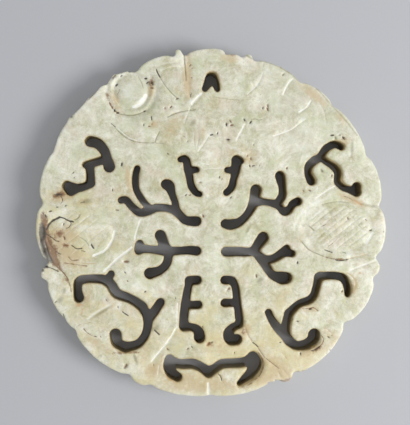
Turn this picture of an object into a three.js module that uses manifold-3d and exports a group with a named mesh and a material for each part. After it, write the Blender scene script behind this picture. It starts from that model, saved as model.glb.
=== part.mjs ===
// A round openwork jade plaque that lies on its plain back.
// Millimetres, +Z up, +Y towards the hanging hole, origin under the middle of the disc.
// One piece of stone: a disc with a lobed rim, sawn right through with fine slots,
// and cut on the front with grooves, a round boss and two hatched medallions.
import * as THREE from "three";
import { mergeVertices } from "three/addons/utils/BufferGeometryUtils.js";
import Module from "manifold-3d";

const wasm = await Module();
wasm.setup();

// ---- Driving dimensions ----
const THICKNESS = 5.0; // back to front
const FRONT_ROUND = 0.9; // how far the worn front edge of the rim curves over
const FRONT_ROUND_BEND = [0.34, 0.3]; // where that curve bends: shares of it, down and in
const BACK_ROUND = 0.4; // the same at the back edge
const RIM_POINT_SPACING = 1.25; // along the rim
const RIM_POINTS_PER_LOBE = 3; // at least, on its shortest lobes
const LOBE_FULLNESS = 0.62; // under 1 gives full lobes with sharp notches between them

const SAW_GRID = 0.24; // grid on which a slot's outline is traced
const SAW_TOLERANCE = 0.03; // most that a traced outline is straightened
const SAW_FILLET = 0.22; // rounding where two saw strokes of a slot meet
const STROKE_STEP = 0.35; // length of the straight pieces that a curved saw stroke is made of

const GROOVE_STEP = 1.2; // length of the straight pieces of a curved groove
const STRAIGHT_GROOVE_STEPS = 4; // pieces of a straight one: it runs out over the first and last
const GROOVE_END_BITE = 0.15; // how deep a groove still is at its two ends, as a share of its depth
const CUTTER_CLEARANCE = 0.5; // how far every cutter stands out of the stone
const MERGE_DISTANCE = 1e-4; // points of a geometry closer than this are one

// The rim's notches, going round from +X towards +Y: angle in degrees, radius there,
// and how far the lobe that follows swells out past its two notches.
const RIM = [
  [5.2, 28.5, 0.85],
  [23.1, 28.45, 0.55],
  [43.4, 28.3, 0.6],
  [57.5, 27.8, 0.6],
  [74.9, 27.95, 0.8],
  [79.1, 28.05, 0.25],
  [84.9, 28.1, 0.1],
  [86.0, 28.75, 0.5],
  [99.0, 28.15, 1.05],
  [102.6, 28.4, 0.65],
  [116.5, 28.05, 0.65],
  [124.1, 28.45, 0.65],
  [135.3, 28.35, 0.45],
  [143.2, 28.6, 0.75],
  [155.0, 28.35, 1.0],
  [173.9, 28.25, 1.1],
  [194.0, 28.0, 1.1],
  [200.2, 29.1, 0.4],
  [213.6, 29.25, 0.15],
  [218.5, 28.95, 0.9],
  [241.9, 28.95, 0.65],
  [249.8, 29.05, 0.4],
  [270.0, 29.0, 0.5],
  [290.4, 28.7, 0.1],
  [292.6, 28.8, 0.85],
  [298.9, 28.95, 1.1],
  [322.9, 28.2, 1.1],
  [340.9, 28.95, 0.8],
  [347.9, 28.5, 1.05],
];

// Every slot is a few saw strokes. A stroke is a smooth curve through points of
// x, y and half the width of the cut there.
const SLOTS = {
  hanging_hole: [
    [[0.15, 24.05, 0.95], [-0.45, 23.1, 0.72], [-1.0, 22.15, 0.48]],
    [[0.15, 24.05, 0.95], [0.7, 23.2, 0.72], [1.1, 22.1, 0.45]],
  ],
  upper_left_cloud: [
    [
      [-20.1, 13.35, 0.92], [-18.9, 13.0, 0.85], [-17.85, 11.9, 0.8],
      [-17.3, 10.4, 0.78], [-16.98, 9.15, 0.95],
    ],
    [[-17.6, 10.4, 0.7], [-19.0, 9.95, 0.7], [-20.9, 9.45, 0.55]],
    [[-20.2, 9.3, 0.7], [-20.15, 7.9, 0.7], [-20.1, 6.5, 0.75]],
    [[-20.1, 6.3, 0.7], [-21.3, 5.75, 0.65], [-22.4, 5.5, 0.75], [-23.3, 5.35, 1.05]],
    [[-23.3, 5.4, 1.0], [-23.95, 5.9, 0.85]],
  ],
  upper_right_cloud: [
    [[21.9, 12.55, 0.6], [20.8, 12.95, 0.62], [19.4, 12.3, 0.62], [18.4, 10.9, 0.65], [17.4, 10.25, 0.65]],
    [[17.4, 10.25, 0.65], [16.5, 9.3, 0.7], [16.35, 8.1, 0.65], [16.9, 6.85, 0.8]],
    [[18.5, 10.8, 0.6], [19.4, 10.05, 0.6], [20.6, 9.3, 0.65], [21.35, 8.4, 0.68], [21.35, 6.7, 0.62]],
    [[21.35, 6.7, 0.62], [22.2, 5.8, 0.62], [23.3, 5.35, 0.6], [24.5, 4.95, 0.8]],
    [[24.3, 5.2, 0.7], [24.5, 5.85, 0.75]],
  ],
  left_branch: [
    [[-12.3, 8.9, 0.5], [-12.6, 7.4, 0.55], [-12.45, 5.4, 0.55], [-11.5, 3.6, 0.55], [-10.5, 2.4, 0.6]],
    [
      [-15.0, 3.55, 0.55], [-14.2, 3.6, 0.6], [-13.2, 2.5, 0.6],
      [-11.9, 1.5, 0.65], [-10.6, 1.7, 0.7], [-9.2, 2.3, 0.6],
    ],
    [
      [-9.2, 2.3, 0.6], [-7.2, 2.2, 0.62], [-5.6, 1.5, 0.7],
      [-4.4, 0.3, 0.7], [-3.2, 0.05, 0.78], [-2.4, 0.05, 0.8],
    ],
    [[-7.5, 6.2, 0.85], [-7.05, 6.0, 0.9], [-6.5, 4.6, 0.6], [-6.0, 3.2, 0.55], [-5.8, 2.2, 0.6]],
  ],
  left_t: [
    [
      [-5.1, 10.4, 0.5], [-4.3, 10.5, 0.6], [-3.85, 9.0, 0.65], [-3.55, 7.4, 0.62],
      [-3.2, 5.8, 0.62], [-2.4, 4.75, 0.55], [-1.9, 4.6, 0.5],
    ],
    [[-3.8, 8.7, 0.65], [-2.4, 8.65, 0.5]],
  ],
  right_t: [
    [[4.3, 10.25, 0.85], [4.2, 9.0, 0.8], [3.85, 7.3, 0.62], [3.4, 5.6, 0.6], [2.6, 4.85, 0.55]],
    [[4.0, 8.6, 0.6], [2.75, 8.6, 0.52]],
    [[4.3, 10.2, 0.7], [5.0, 10.15, 0.55]],
  ],
  right_branch: [
    [
      [2.4, -0.35, 0.75], [3.2, -0.5, 0.85], [4.6, -0.2, 0.75], [5.9, 0.95, 0.65],
      [6.9, 2.5, 0.75], [7.4, 4.1, 0.92], [7.6, 5.25, 0.95],
    ],
    [[7.5, 3.3, 0.7], [8.8, 3.35, 0.6], [10.1, 3.1, 0.55], [11.1, 2.9, 0.7]],
    [[11.1, 2.9, 0.7], [11.95, 4.3, 0.68], [12.0, 5.6, 0.65], [11.6, 7.65, 0.82]],
    [[11.4, 2.7, 0.6], [12.35, 1.65, 0.72], [13.2, 2.1, 0.65], [13.8, 3.0, 0.65], [14.6, 3.35, 0.7]],
  ],
  left_cross: [
    [[-11.9, -3.7, 0.65], [-12.1, -4.9, 0.65]],
    [
      [-12.0, -4.55, 0.75], [-10.2, -4.6, 0.65], [-7.6, -4.9, 0.78],
      [-5.2, -4.9, 0.65], [-3.8, -4.8, 0.7], [-2.4, -4.9, 0.75],
    ],
    [[-8.45, -2.3, 0.9], [-8.0, -3.4, 0.88], [-7.5, -4.6, 0.8]],
    [[-7.0, -5.3, 0.7], [-7.4, -7.0, 0.68], [-8.5, -8.15, 0.7], [-10.2, -8.65, 0.95]],
  ],
  right_cross: [
    [[2.5, -5.05, 0.78], [4.4, -5.05, 0.75], [7.0, -4.95, 0.75], [8.2, -3.5, 0.92], [8.75, -2.7, 0.95]],
    [
      [7.4, -5.1, 0.7], [8.6, -6.4, 0.85], [9.4, -7.6, 0.78],
      [10.3, -8.9, 0.7], [12.0, -9.45, 1.05], [12.7, -9.45, 0.95],
    ],
    [[9.0, -6.4, 0.7], [10.4, -6.25, 0.68], [12.3, -5.05, 0.75], [12.7, -4.5, 0.62]],
    [[12.2, -5.1, 0.7], [13.6, -5.35, 0.6]],
  ],
  left_ladder: [
    [[-3.6, -9.9, 0.65], [-4.0, -12.0, 0.68], [-4.35, -14.5, 0.72], [-4.55, -17.4, 0.75]],
    [[-3.6, -9.85, 0.72], [-2.3, -9.8, 0.75]],
    [[-4.0, -14.0, 0.68], [-2.1, -13.9, 0.68]],
    [[-4.5, -17.6, 0.72], [-3.1, -17.65, 0.68], [-2.1, -18.3, 0.8], [-1.9, -19.4, 0.92]],
  ],
  right_ladder: [
    [
      [2.3, -9.8, 0.72], [3.5, -9.9, 0.7], [4.1, -11.0, 0.62],
      [4.4, -13.5, 0.65], [4.75, -16.3, 0.68], [4.7, -17.2, 0.65],
    ],
    [[2.3, -13.6, 0.7], [4.2, -13.6, 0.65]],
    [[4.7, -17.2, 0.65], [3.6, -17.75, 0.7], [2.95, -18.7, 0.85], [3.3, -19.7, 0.95], [4.3, -19.7, 0.9]],
  ],
  lower_left_scroll: [
    [
      [-22.0, -12.65, 0.88], [-22.2, -11.3, 0.7], [-22.0, -10.0, 0.75],
      [-20.5, -9.55, 0.68], [-18.2, -9.6, 0.72],
    ],
    [
      [-18.2, -9.6, 0.72], [-16.9, -10.3, 0.85], [-15.7, -12.0, 0.85],
      [-13.4, -12.9, 0.75], [-11.5, -14.2, 0.8],
    ],
    [
      [-11.5, -14.2, 0.8], [-10.6, -16.0, 0.75], [-10.8, -18.5, 0.68],
      [-12.2, -20.4, 0.72], [-14.2, -20.95, 0.82],
    ],
    [[-14.2, -20.95, 0.82], [-15.6, -20.2, 0.92], [-15.9, -18.85, 1.0]],
    [[-17.2, -9.6, 0.7], [-16.6, -8.7, 0.55]],
    [[-10.4, -16.2, 0.8], [-9.4, -14.9, 0.78], [-8.4, -13.4, 0.65]],
  ],
  lower_right_scroll: [
    [[22.95, -12.2, 0.5], [22.95, -10.9, 0.65], [22.2, -9.5, 0.68], [20.4, -9.05, 0.62], [18.3, -9.2, 0.7]],
    [[18.1, -9.3, 0.75], [17.7, -11.0, 0.65], [16.9, -12.9, 0.68], [14.8, -13.8, 0.65], [13.1, -15.4, 0.7]],
    [
      [13.1, -15.4, 0.7], [12.6, -17.4, 0.85], [12.7, -19.3, 0.85],
      [14.2, -20.75, 0.75], [16.0, -20.6, 0.8],
    ],
    [[16.0, -20.6, 0.8], [17.2, -19.65, 1.0], [17.3, -18.9, 0.98]],
    [[9.65, -15.2, 0.6], [10.2, -16.4, 0.62], [11.2, -17.8, 0.75], [12.3, -18.9, 0.85]],
  ],
  bottom_bat: [
    [[-5.6, -25.95, 0.78], [-6.7, -25.1, 0.92], [-7.1, -23.9, 0.85], [-6.9, -22.9, 0.75]],
    [
      [-6.9, -23.1, 0.75], [-5.4, -23.75, 0.8], [-3.0, -23.75, 0.82],
      [-1.7, -24.3, 0.8], [-0.4, -25.15, 0.9],
    ],
    [
      [-0.4, -25.15, 0.9], [0.7, -24.5, 0.78], [1.8, -23.8, 0.78],
      [4.2, -23.65, 0.78], [6.0, -23.4, 0.85], [7.0, -22.7, 0.85],
    ],
    [[7.0, -22.6, 0.85], [7.4, -23.9, 1.25], [7.0, -25.1, 1.0], [5.8, -26.3, 0.75], [4.85, -27.05, 0.5]],
  ],
};

// Grooves cut into the front: width at the surface, depth, and a curve through x, y points.
const GROOVES = [
  // the petals on both sides of the hanging hole
  [0.45, 0.3, [[-9.0, 25.3], [-8.4, 23.8], [-7.4, 22.1], [-5.6, 20.5]]],
  [1.1, 0.35, [[-4.2, 29.0], [-4.05, 26.0], [-3.8, 23.0], [-3.4, 20.7]]],
  [0.6, 0.3, [[-1.3, 21.4], [-2.5, 20.2], [-3.4, 18.2], [-4.1, 16.2]]],
  [0.5, 0.25, [[8.8, 25.0], [8.3, 23.5], [7.5, 22.2], [6.3, 21.2]]],
  [0.55, 0.3, [[13.7, 24.0], [13.0, 22.9], [12.2, 21.2]]],
  [0.55, 0.25, [[16.7, 20.1], [16.1, 19.1], [15.2, 18.4]]],
  [0.45, 0.25, [[15.6, 16.9], [14.2, 15.7], [11.8, 14.4]]],
  // the leaf under the boss
  [0.55, 0.3, [[-2.6, 19.2], [-5.0, 18.6], [-7.1, 17.7], [-7.5, 16.0], [-6.3, 13.4]]],
  [0.6, 0.35, [[-16.3, 16.1], [-15.0, 14.8], [-12.9, 13.5], [-10.5, 13.2], [-7.8, 13.1]]],
  // the fine strokes above the middle
  [0.5, 0.25, [[5.6, 16.1], [4.9, 14.8], [4.1, 13.3]]],
  [0.4, 0.2, [[-0.3, 14.5], [-1.2, 12.9], [-2.3, 11.6]]],
  [0.4, 0.2, [[-1.7, 8.85], [0.1, 8.7], [2.0, 8.85]]],
  // the frames round the two medallions
  [0.7, 0.35, [[21.0, 6.0], [18.5, 4.0], [16.0, 1.8], [14.5, -0.4], [14.9, -3.2]]],
  [0.6, 0.3, [[14.9, -3.2], [17.0, -5.1], [20.5, -6.4], [24.0, -6.3], [27.4, -5.4]]],
  [0.5, 0.25, [[21.6, 4.7], [23.6, 3.8], [26.2, 2.5]]],
  [0.7, 0.35, [[-12.1, 0.0], [-12.6, -2.3], [-13.6, -4.9], [-15.4, -6.5], [-17.6, -8.3]]],
  [0.7, 0.3, [[23.5, -8.1], [25.6, -7.5], [28.4, -6.2]]],
  // the ribbons below
  [0.6, 0.3, [[-17.0, -13.4], [-18.6, -14.6], [-20.8, -16.1], [-22.4, -17.8]]],
  [0.65, 0.35, [[-5.6, -15.8], [-6.2, -18.4], [-7.7, -20.8], [-10.2, -23.6]]],
  [0.6, 0.35, [[6.0, -16.6], [7.1, -19.2], [9.6, -22.8], [13.2, -26.6]]],
  [0.7, 0.3, [[-0.4, -27.0], [-0.4, -29.4]]],
];

// The boss: a dome, a narrow sunk line, a low collar, and a sunk ring line that runs out.
// Each is given by its radius and, for the three flats and lines, its depth below the front.
const BOSS = {
  x: -13.3,
  y: 21.8,
  domeRadius: 2.55,
  domeDrop: 0.43,
  lineRadius: 2.8,
  lineDepth: 0.5,
  collar: [3.16, 3.78],
  collarDepth: 0.15,
  ringRadius: 4.2,
  ringDepth: 0.45,
  outerRadius: 4.58,
  sides: 40,
};
const DOME_SHARES = [0.45, 0.75, 1]; // radii at which the dome's curve has a point
const DOME_SKIM = 0.02; // how far the top of the dome stays under the front

// The medallions: a hatched oval field inside a sunk line.
const MEDALLIONS = [
  { x: 21.3, y: -1.0, halfLength: 5.7, halfHeight: 4.1, turn: -3, hatchTurn: 38, hatchPitch: 1.45 },
  { x: -21.6, y: -2.0, halfLength: 5.5, halfHeight: 4.2, turn: 4, hatchTurn: 38, hatchPitch: 1.7 },
];
const MEDALLION_LINE = 0.6; // width of the sunk line round a medallion
const MEDALLION_DEPTH = 0.35;
const MEDALLION_SIDES = 44;
const MOST_HATCH_LINES = 5; // on each side of a medallion's middle
const HATCH_WIDTH = 0.4;
const HATCH_DEPTH = 0.2;

const JADE = { color: 0xd7d6c4, roughness: 0.45, metalness: 0.0 };

// ---- Solids ----

// A smooth open curve through points.
function smoothCurve(points) {
  return new THREE.CatmullRomCurve3(points, false, "centripetal");
}

// A manifold-3d solid from a closed three.js geometry.
function solidOf(geometry) {
  const bare = geometry.clone();
  bare.deleteAttribute("normal");
  bare.deleteAttribute("uv");
  const merged = mergeVertices(bare, MERGE_DISTANCE);
  return new wasm.Manifold(
    new wasm.Mesh({
      numProp: 3,
      vertProperties: new Float32Array(merged.attributes.position.array),
      triVerts: new Uint32Array(merged.index.array),
    }),
  );
}

// The three.js geometry of a manifold-3d solid.
function geometryOf(solid) {
  const mesh = solid.getMesh();
  const geometry = new THREE.BufferGeometry();
  geometry.setAttribute("position", new THREE.BufferAttribute(mesh.vertProperties, 3));
  geometry.setIndex(new THREE.BufferAttribute(mesh.triVerts, 1));
  return geometry;
}

// A closed skin over rings of the same number of points, capped at both ends.
// The rings run anticlockwise seen from +Z and rise, so the faces point out.
function skinOf(rings) {
  const count = rings[0].length;
  const points = rings.flat();
  const faces = [];
  for (let level = 0; level + 1 < rings.length; level++) {
    for (let i = 0; i < count; i++) {
      const a = level * count + i;
      const b = level * count + ((i + 1) % count);
      faces.push(a, b, b + count, a, b + count, a + count);
    }
  }
  const top = (rings.length - 1) * count;
  for (const [i, j, k] of THREE.ShapeUtils.triangulateShape(rings[0], [])) {
    faces.push(k, j, i);
    faces.push(top + i, top + j, top + k);
  }
  const geometry = new THREE.BufferGeometry().setFromPoints(points);
  geometry.setIndex(faces);
  return geometry;
}

// ---- The disc ----

// Angles at which the rim is drawn: every notch, and evenly between notches.
function rimStations() {
  const stations = [];
  RIM.forEach(([angle, radius, swell], i) => {
    const [nextAngle, nextRadius] = RIM[(i + 1) % RIM.length];
    const turn = (nextAngle - angle + 360) % 360;
    const length = THREE.MathUtils.degToRad(turn) * radius;
    const steps = Math.max(RIM_POINTS_PER_LOBE, Math.ceil(length / RIM_POINT_SPACING));
    for (let s = 0; s < steps; s++) {
      const t = s / steps;
      const chord = THREE.MathUtils.lerp(radius, nextRadius, t);
      const bulge = swell * Math.sin(Math.PI * t) ** LOBE_FULLNESS;
      stations.push([THREE.MathUtils.degToRad(angle + turn * t), chord + bulge]);
    }
  });
  return stations;
}

// The disc before it is pierced, with its front and back edges worn round.
function discSolid() {
  const [bendDown, bendIn] = FRONT_ROUND_BEND;
  const levels = [
    [0, BACK_ROUND],
    [BACK_ROUND, 0],
    [THICKNESS - FRONT_ROUND, 0],
    [THICKNESS - FRONT_ROUND * bendDown, FRONT_ROUND * bendIn],
    [THICKNESS, FRONT_ROUND],
  ];
  const stations = rimStations();
  const rings = levels.map(([z, inset]) =>
    stations.map(([angle, radius]) => {
      const reach = radius - inset;
      return new THREE.Vector3(reach * Math.cos(angle), reach * Math.sin(angle), z);
    }),
  );
  return solidOf(skinOf(rings));
}

// ---- The slots ----

// The straight pieces of a slot's strokes; z carries half the width of the cut.
function strokePieces(strokes) {
  const pieces = [];
  for (const stroke of strokes) {
    const curve = smoothCurve(stroke.map((point) => new THREE.Vector3(...point)));
    const points = curve.getPoints(Math.ceil(curve.getLength() / STROKE_STEP));
    for (let i = 0; i + 1 < points.length; i++) pieces.push([points[i], points[i + 1]]);
  }
  return pieces;
}

// How far a point lies outside one straight piece of a stroke; negative is inside the cut.
function outsidePiece(x, y, [a, b]) {
  const dx = b.x - a.x;
  const dy = b.y - a.y;
  const along = ((x - a.x) * dx + (y - a.y) * dy) / (dx * dx + dy * dy || 1);
  const t = THREE.MathUtils.clamp(along, 0, 1);
  return Math.hypot(x - a.x - t * dx, y - a.y - t * dy) - THREE.MathUtils.lerp(a.z, b.z, t);
}

// How far a point lies outside a slot, with the corners between its strokes filled out a little.
function outsideSlot(x, y, strokes) {
  let outside = Infinity;
  for (const pieces of strokes) {
    const stroke = Math.min(...pieces.map((piece) => outsidePiece(x, y, piece)));
    const blend = Math.max(SAW_FILLET - Math.abs(outside - stroke), 0) / SAW_FILLET;
    outside = Math.min(outside, stroke) - (blend * blend * SAW_FILLET) / 4;
  }
  return outside;
}

// Traces where a function of x and y crosses zero inside a box, as closed loops of points.
function traceZero(field, box) {
  const columns = Math.ceil((box.max.x - box.min.x) / SAW_GRID);
  const rows = Math.ceil((box.max.y - box.min.y) / SAW_GRID);
  const corner = (i, j) => [box.min.x + i * SAW_GRID, box.min.y + j * SAW_GRID];
  const value = [];
  for (let i = 0; i <= columns; i++) {
    value.push([]);
    for (let j = 0; j <= rows; j++) value[i].push(field(...corner(i, j)));
  }
  const crossing = new Map();
  const next = new Map();
  // The point where the outline crosses the grid edge between two corners, under one key.
  const cross = ([i0, j0], [i1, j1]) => {
    const edge = i0 === i1 ? "up" : "along";
    const key = [Math.min(i0, i1), Math.min(j0, j1), edge].join();
    if (!crossing.has(key)) {
      const t = value[i0][j0] / (value[i0][j0] - value[i1][j1]);
      const [x0, y0] = corner(i0, j0);
      const [x1, y1] = corner(i1, j1);
      crossing.set(key, new THREE.Vector2(x0 + t * (x1 - x0), y0 + t * (y1 - y0)));
    }
    return key;
  };
  for (let i = 0; i < columns; i++) {
    for (let j = 0; j < rows; j++) {
      const corners = [[i, j], [i + 1, j], [i + 1, j + 1], [i, j + 1]];
      const inside = corners.map(([a, b]) => value[a][b] < 0);
      const leaves = [];
      const enters = [];
      corners.forEach((c, k) => {
        const d = corners[(k + 1) % 4];
        if (inside[k] && !inside[(k + 1) % 4]) leaves.push(cross(c, d));
        if (!inside[k] && inside[(k + 1) % 4]) enters.push(cross(c, d));
      });
      // The inside is kept on the left, so an outline leaves a cell where the inside ends.
      leaves.forEach((key, k) => next.set(key, enters[(k + leaves.length - 1) % leaves.length]));
    }
  }
  const loops = [];
  while (next.size) {
    const first = next.keys().next().value;
    const loop = [];
    let key = first;
    while (next.has(key)) {
      loop.push(crossing.get(key));
      const following = next.get(key);
      next.delete(key);
      key = following;
    }
    loops.push(loop);
  }
  return loops;
}

// A point of the plane as a point in space.
function flat(point) {
  return new THREE.Vector3(point.x, point.y, 0);
}

// Keeps only the points that an open run needs to stay within a tolerance.
function straighten(points, tolerance) {
  const first = points[0];
  const last = points[points.length - 1];
  const line = new THREE.Line3(flat(first), flat(last));
  const foot = new THREE.Vector3();
  let farthest = 0;
  let split = 0;
  for (let i = 1; i + 1 < points.length; i++) {
    const point = flat(points[i]);
    line.closestPointToPoint(point, true, foot);
    if (foot.distanceTo(point) > farthest) {
      farthest = foot.distanceTo(point);
      split = i;
    }
  }
  if (farthest <= tolerance) return [first, last];
  const head = straighten(points.slice(0, split + 1), tolerance);
  const tail = straighten(points.slice(split), tolerance);
  return [...head.slice(0, -1), ...tail];
}

function straightenLoop(loop, tolerance) {
  const half = Math.floor(loop.length / 2);
  const out = straighten(loop.slice(0, half + 1), tolerance);
  const back = straighten([...loop.slice(half), loop[0]], tolerance);
  return [...out.slice(0, -1), ...back.slice(0, -1)];
}

// A straight-sided cutter with the outline of one slot.
function slotCutter(strokes) {
  const pieces = strokes.map((stroke) => strokePieces([stroke]));
  const box = new THREE.Box2();
  for (const [x, y, half] of strokes.flat()) {
    box.expandByPoint(new THREE.Vector2(x - half, y - half));
    box.expandByPoint(new THREE.Vector2(x + half, y + half));
  }
  box.expandByScalar(2 * SAW_GRID);
  const loops = traceZero((x, y) => outsideSlot(x, y, pieces), box);
  const outline = loops.sort((a, b) => b.length - a.length)[0];
  const shape = new THREE.Shape(straightenLoop(outline, SAW_TOLERANCE));
  const depth = THICKNESS + 2 * CUTTER_CLEARANCE;
  const cutter = new THREE.ExtrudeGeometry(shape, { depth, bevelEnabled: false });
  return solidOf(cutter.translate(0, 0, -CUTTER_CLEARANCE));
}

// ---- The relief on the front ----

// A V-shaped cutter along a curve on the front, running out shallow at both ends.
function grooveCutter(width, depth, path) {
  const curve = smoothCurve(path.map(([x, y]) => new THREE.Vector3(x, y, 0)));
  const curvedSteps = Math.ceil(curve.getLength() / GROOVE_STEP);
  const steps = path.length === 2 ? STRAIGHT_GROOVE_STEPS : curvedSteps;
  const slope = width / 2 / depth; // sideways reach for each millimetre of depth
  const sections = [];
  for (let i = 0; i <= steps; i++) {
    const centre = curve.getPointAt(i / steps);
    const tangent = curve.getTangentAt(i / steps);
    const side = new THREE.Vector3(-tangent.y, tangent.x, 0);
    const bite = depth * (i === 0 || i === steps ? GROOVE_END_BITE : 1);
    const half = slope * (bite + CUTTER_CLEARANCE);
    const rim = THICKNESS + CUTTER_CLEARANCE;
    sections.push([
      centre.clone().addScaledVector(side, -half).setZ(rim),
      centre.clone().setZ(THICKNESS - bite),
      centre.clone().addScaledVector(side, half).setZ(rim),
    ]);
  }
  const faces = [0, 2, 1];
  for (let i = 0; i < steps; i++) {
    for (let k = 0; k < 3; k++) {
      const a = 3 * i + k;
      const b = 3 * i + ((k + 1) % 3);
      faces.push(a, b, b + 3, a, b + 3, a + 3);
    }
  }
  const end = 3 * steps;
  faces.push(end, end + 1, end + 2);
  const geometry = new THREE.BufferGeometry().setFromPoints(sections.flat());
  geometry.setIndex(faces);
  return solidOf(geometry);
}

// A cutter turned on an upright axis: what stays is the profile, given as radius and depth.
function turnedCutter(profile, sides) {
  const reach = profile[profile.length - 1][0];
  const points = profile.map(([radius, depth]) => new THREE.Vector2(radius, THICKNESS - depth));
  points.push(new THREE.Vector2(reach, THICKNESS + CUTTER_CLEARANCE));
  points.push(new THREE.Vector2(0, THICKNESS + CUTTER_CLEARANCE));
  return new THREE.LatheGeometry(points, sides).rotateX(Math.PI / 2);
}

// The boss: a low dome in a collar, with a sunk line round each.
function bossCutter() {
  const { domeRadius, domeDrop, lineRadius, lineDepth, collar, collarDepth } = BOSS;
  const profile = [[0, DOME_SKIM]];
  for (const share of DOME_SHARES) {
    profile.push([domeRadius * share, DOME_SKIM + domeDrop * share ** 3]);
  }
  profile.push([lineRadius, lineDepth]);
  profile.push([collar[0], collarDepth]);
  profile.push([collar[1], collarDepth]);
  profile.push([BOSS.ringRadius, BOSS.ringDepth]);
  profile.push([BOSS.outerRadius, 0]);
  return solidOf(turnedCutter(profile, BOSS.sides).translate(BOSS.x, BOSS.y, 0));
}

// The sunk oval line round a medallion, as a ring of V section.
function medallionLineCutter({ x, y, halfLength, halfHeight, turn }) {
  const halfLine = MEDALLION_LINE / 2;
  const proud = halfLine * (1 + CUTTER_CLEARANCE / MEDALLION_DEPTH);
  const rings = [
    [-proud, THICKNESS + CUTTER_CLEARANCE],
    [0, THICKNESS - MEDALLION_DEPTH],
    [proud, THICKNESS + CUTTER_CLEARANCE],
  ];
  const sides = MEDALLION_SIDES;
  const points = [];
  for (const [offset, z] of rings) {
    for (let i = 0; i < sides; i++) {
      const angle = (2 * Math.PI * i) / sides;
      const along = (halfLength + offset) * Math.cos(angle);
      const up = (halfHeight + offset) * Math.sin(angle);
      points.push(new THREE.Vector3(along, up, z));
    }
  }
  const faces = [];
  for (let ring = 0; ring < 3; ring++) {
    for (let i = 0; i < sides; i++) {
      const a = ring * sides + i;
      const b = ring * sides + ((i + 1) % sides);
      const c = ((ring + 1) % 3) * sides + i;
      const d = ((ring + 1) % 3) * sides + ((i + 1) % sides);
      faces.push(a, b, d, a, d, c);
    }
  }
  const geometry = new THREE.BufferGeometry().setFromPoints(points);
  geometry.setIndex(faces);
  geometry.rotateZ(THREE.MathUtils.degToRad(turn)).translate(x, y, 0);
  return solidOf(geometry);
}

// The straight hatching that fills a medallion, each line cut to the oval's width there.
function hatchCutters({ x, y, halfLength, halfHeight, turn, hatchTurn, hatchPitch }) {
  const cutters = [];
  const middle = new THREE.Vector2();
  const lean = THREE.MathUtils.degToRad(hatchTurn - turn);
  const across = new THREE.Vector2(1, 0).rotateAround(middle, lean);
  const step = new THREE.Vector2(-across.y, across.x);
  const a = halfLength - MEDALLION_LINE;
  const b = halfHeight - MEDALLION_LINE;
  for (let line = -MOST_HATCH_LINES; line <= MOST_HATCH_LINES; line++) {
    const base = step.clone().multiplyScalar(line * hatchPitch);
    // where the line base + t * across meets the oval (x / a)^2 + (y / b)^2 = 1
    const qa = (across.x / a) ** 2 + (across.y / b) ** 2;
    const qb = 2 * ((base.x * across.x) / a ** 2 + (base.y * across.y) / b ** 2);
    const qc = (base.x / a) ** 2 + (base.y / b) ** 2 - 1;
    const root = qb ** 2 - 4 * qa * qc;
    if (root <= 0 || Math.sqrt(root) / qa < 2 * hatchPitch) continue;
    const ends = [-1, 1].map((sign) => {
      const t = (-qb + sign * Math.sqrt(root)) / (2 * qa);
      const end = base.clone().addScaledVector(across, t);
      end.rotateAround(middle, THREE.MathUtils.degToRad(turn));
      return [x + end.x, y + end.y];
    });
    cutters.push(grooveCutter(HATCH_WIDTH, HATCH_DEPTH, ends));
  }
  return cutters;
}

// ---- The plaque ----

function plaqueSolid() {
  let stone = discSolid();
  const cutters = [
    ...Object.values(SLOTS).map(slotCutter),
    ...GROOVES.map(([width, depth, path]) => grooveCutter(width, depth, path)),
    bossCutter(),
    ...MEDALLIONS.map(medallionLineCutter),
    ...MEDALLIONS.flatMap(hatchCutters),
  ];
  for (const cutter of cutters) stone = stone.subtract(cutter);
  return stone;
}

const plaque = new THREE.Mesh(geometryOf(plaqueSolid()), new THREE.MeshStandardMaterial(JADE));
plaque.name = "jade_plaque";

const part = new THREE.Group();
part.add(plaque);

export default part;
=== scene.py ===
# %% [markdown]
# # A round openwork jade plaque
# The real object is one slice of pale nephrite, about 59 mm across and 5 mm thick. A carver
# ground its rim into lobes, drilled and sawed slots right through it with a wire and abrasive
# grit, and cut shallow lines into its front. Years of wear and dirt did the rest.
#
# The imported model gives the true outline, slots and thickness. This lesson puts the finish on
# it: one fine mesh that follows those outlines, with worn edges, cut lines, pits and a surface
# that is never quite flat, and one procedural stone material.

# %% The frame
import math

import bmesh
import bpy
import numpy as np
from mathutils import Matrix, Vector, noise
from mathutils.geometry import delaunay_2d_cdt
from mathutils.kdtree import KDTree


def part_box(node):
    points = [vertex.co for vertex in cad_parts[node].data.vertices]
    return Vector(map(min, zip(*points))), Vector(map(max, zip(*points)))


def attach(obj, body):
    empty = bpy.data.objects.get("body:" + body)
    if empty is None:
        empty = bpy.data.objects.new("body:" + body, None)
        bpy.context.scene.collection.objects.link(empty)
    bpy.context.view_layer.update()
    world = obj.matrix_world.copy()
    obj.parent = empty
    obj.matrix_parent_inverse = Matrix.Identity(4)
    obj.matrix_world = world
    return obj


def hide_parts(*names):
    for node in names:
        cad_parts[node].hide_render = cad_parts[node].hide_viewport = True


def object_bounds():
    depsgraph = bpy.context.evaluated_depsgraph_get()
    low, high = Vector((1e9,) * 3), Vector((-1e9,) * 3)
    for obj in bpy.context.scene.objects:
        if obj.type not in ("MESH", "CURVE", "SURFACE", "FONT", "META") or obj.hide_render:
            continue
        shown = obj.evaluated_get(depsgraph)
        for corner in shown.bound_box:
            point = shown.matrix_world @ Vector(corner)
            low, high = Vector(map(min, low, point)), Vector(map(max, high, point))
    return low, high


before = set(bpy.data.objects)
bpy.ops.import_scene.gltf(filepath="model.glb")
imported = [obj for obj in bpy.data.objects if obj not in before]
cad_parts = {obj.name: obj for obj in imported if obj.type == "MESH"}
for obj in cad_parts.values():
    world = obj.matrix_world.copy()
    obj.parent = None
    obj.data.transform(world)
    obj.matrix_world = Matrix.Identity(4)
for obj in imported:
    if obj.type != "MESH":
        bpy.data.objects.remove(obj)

MM = 0.001  # metres; all carving below is worked out in millimetres
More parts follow.
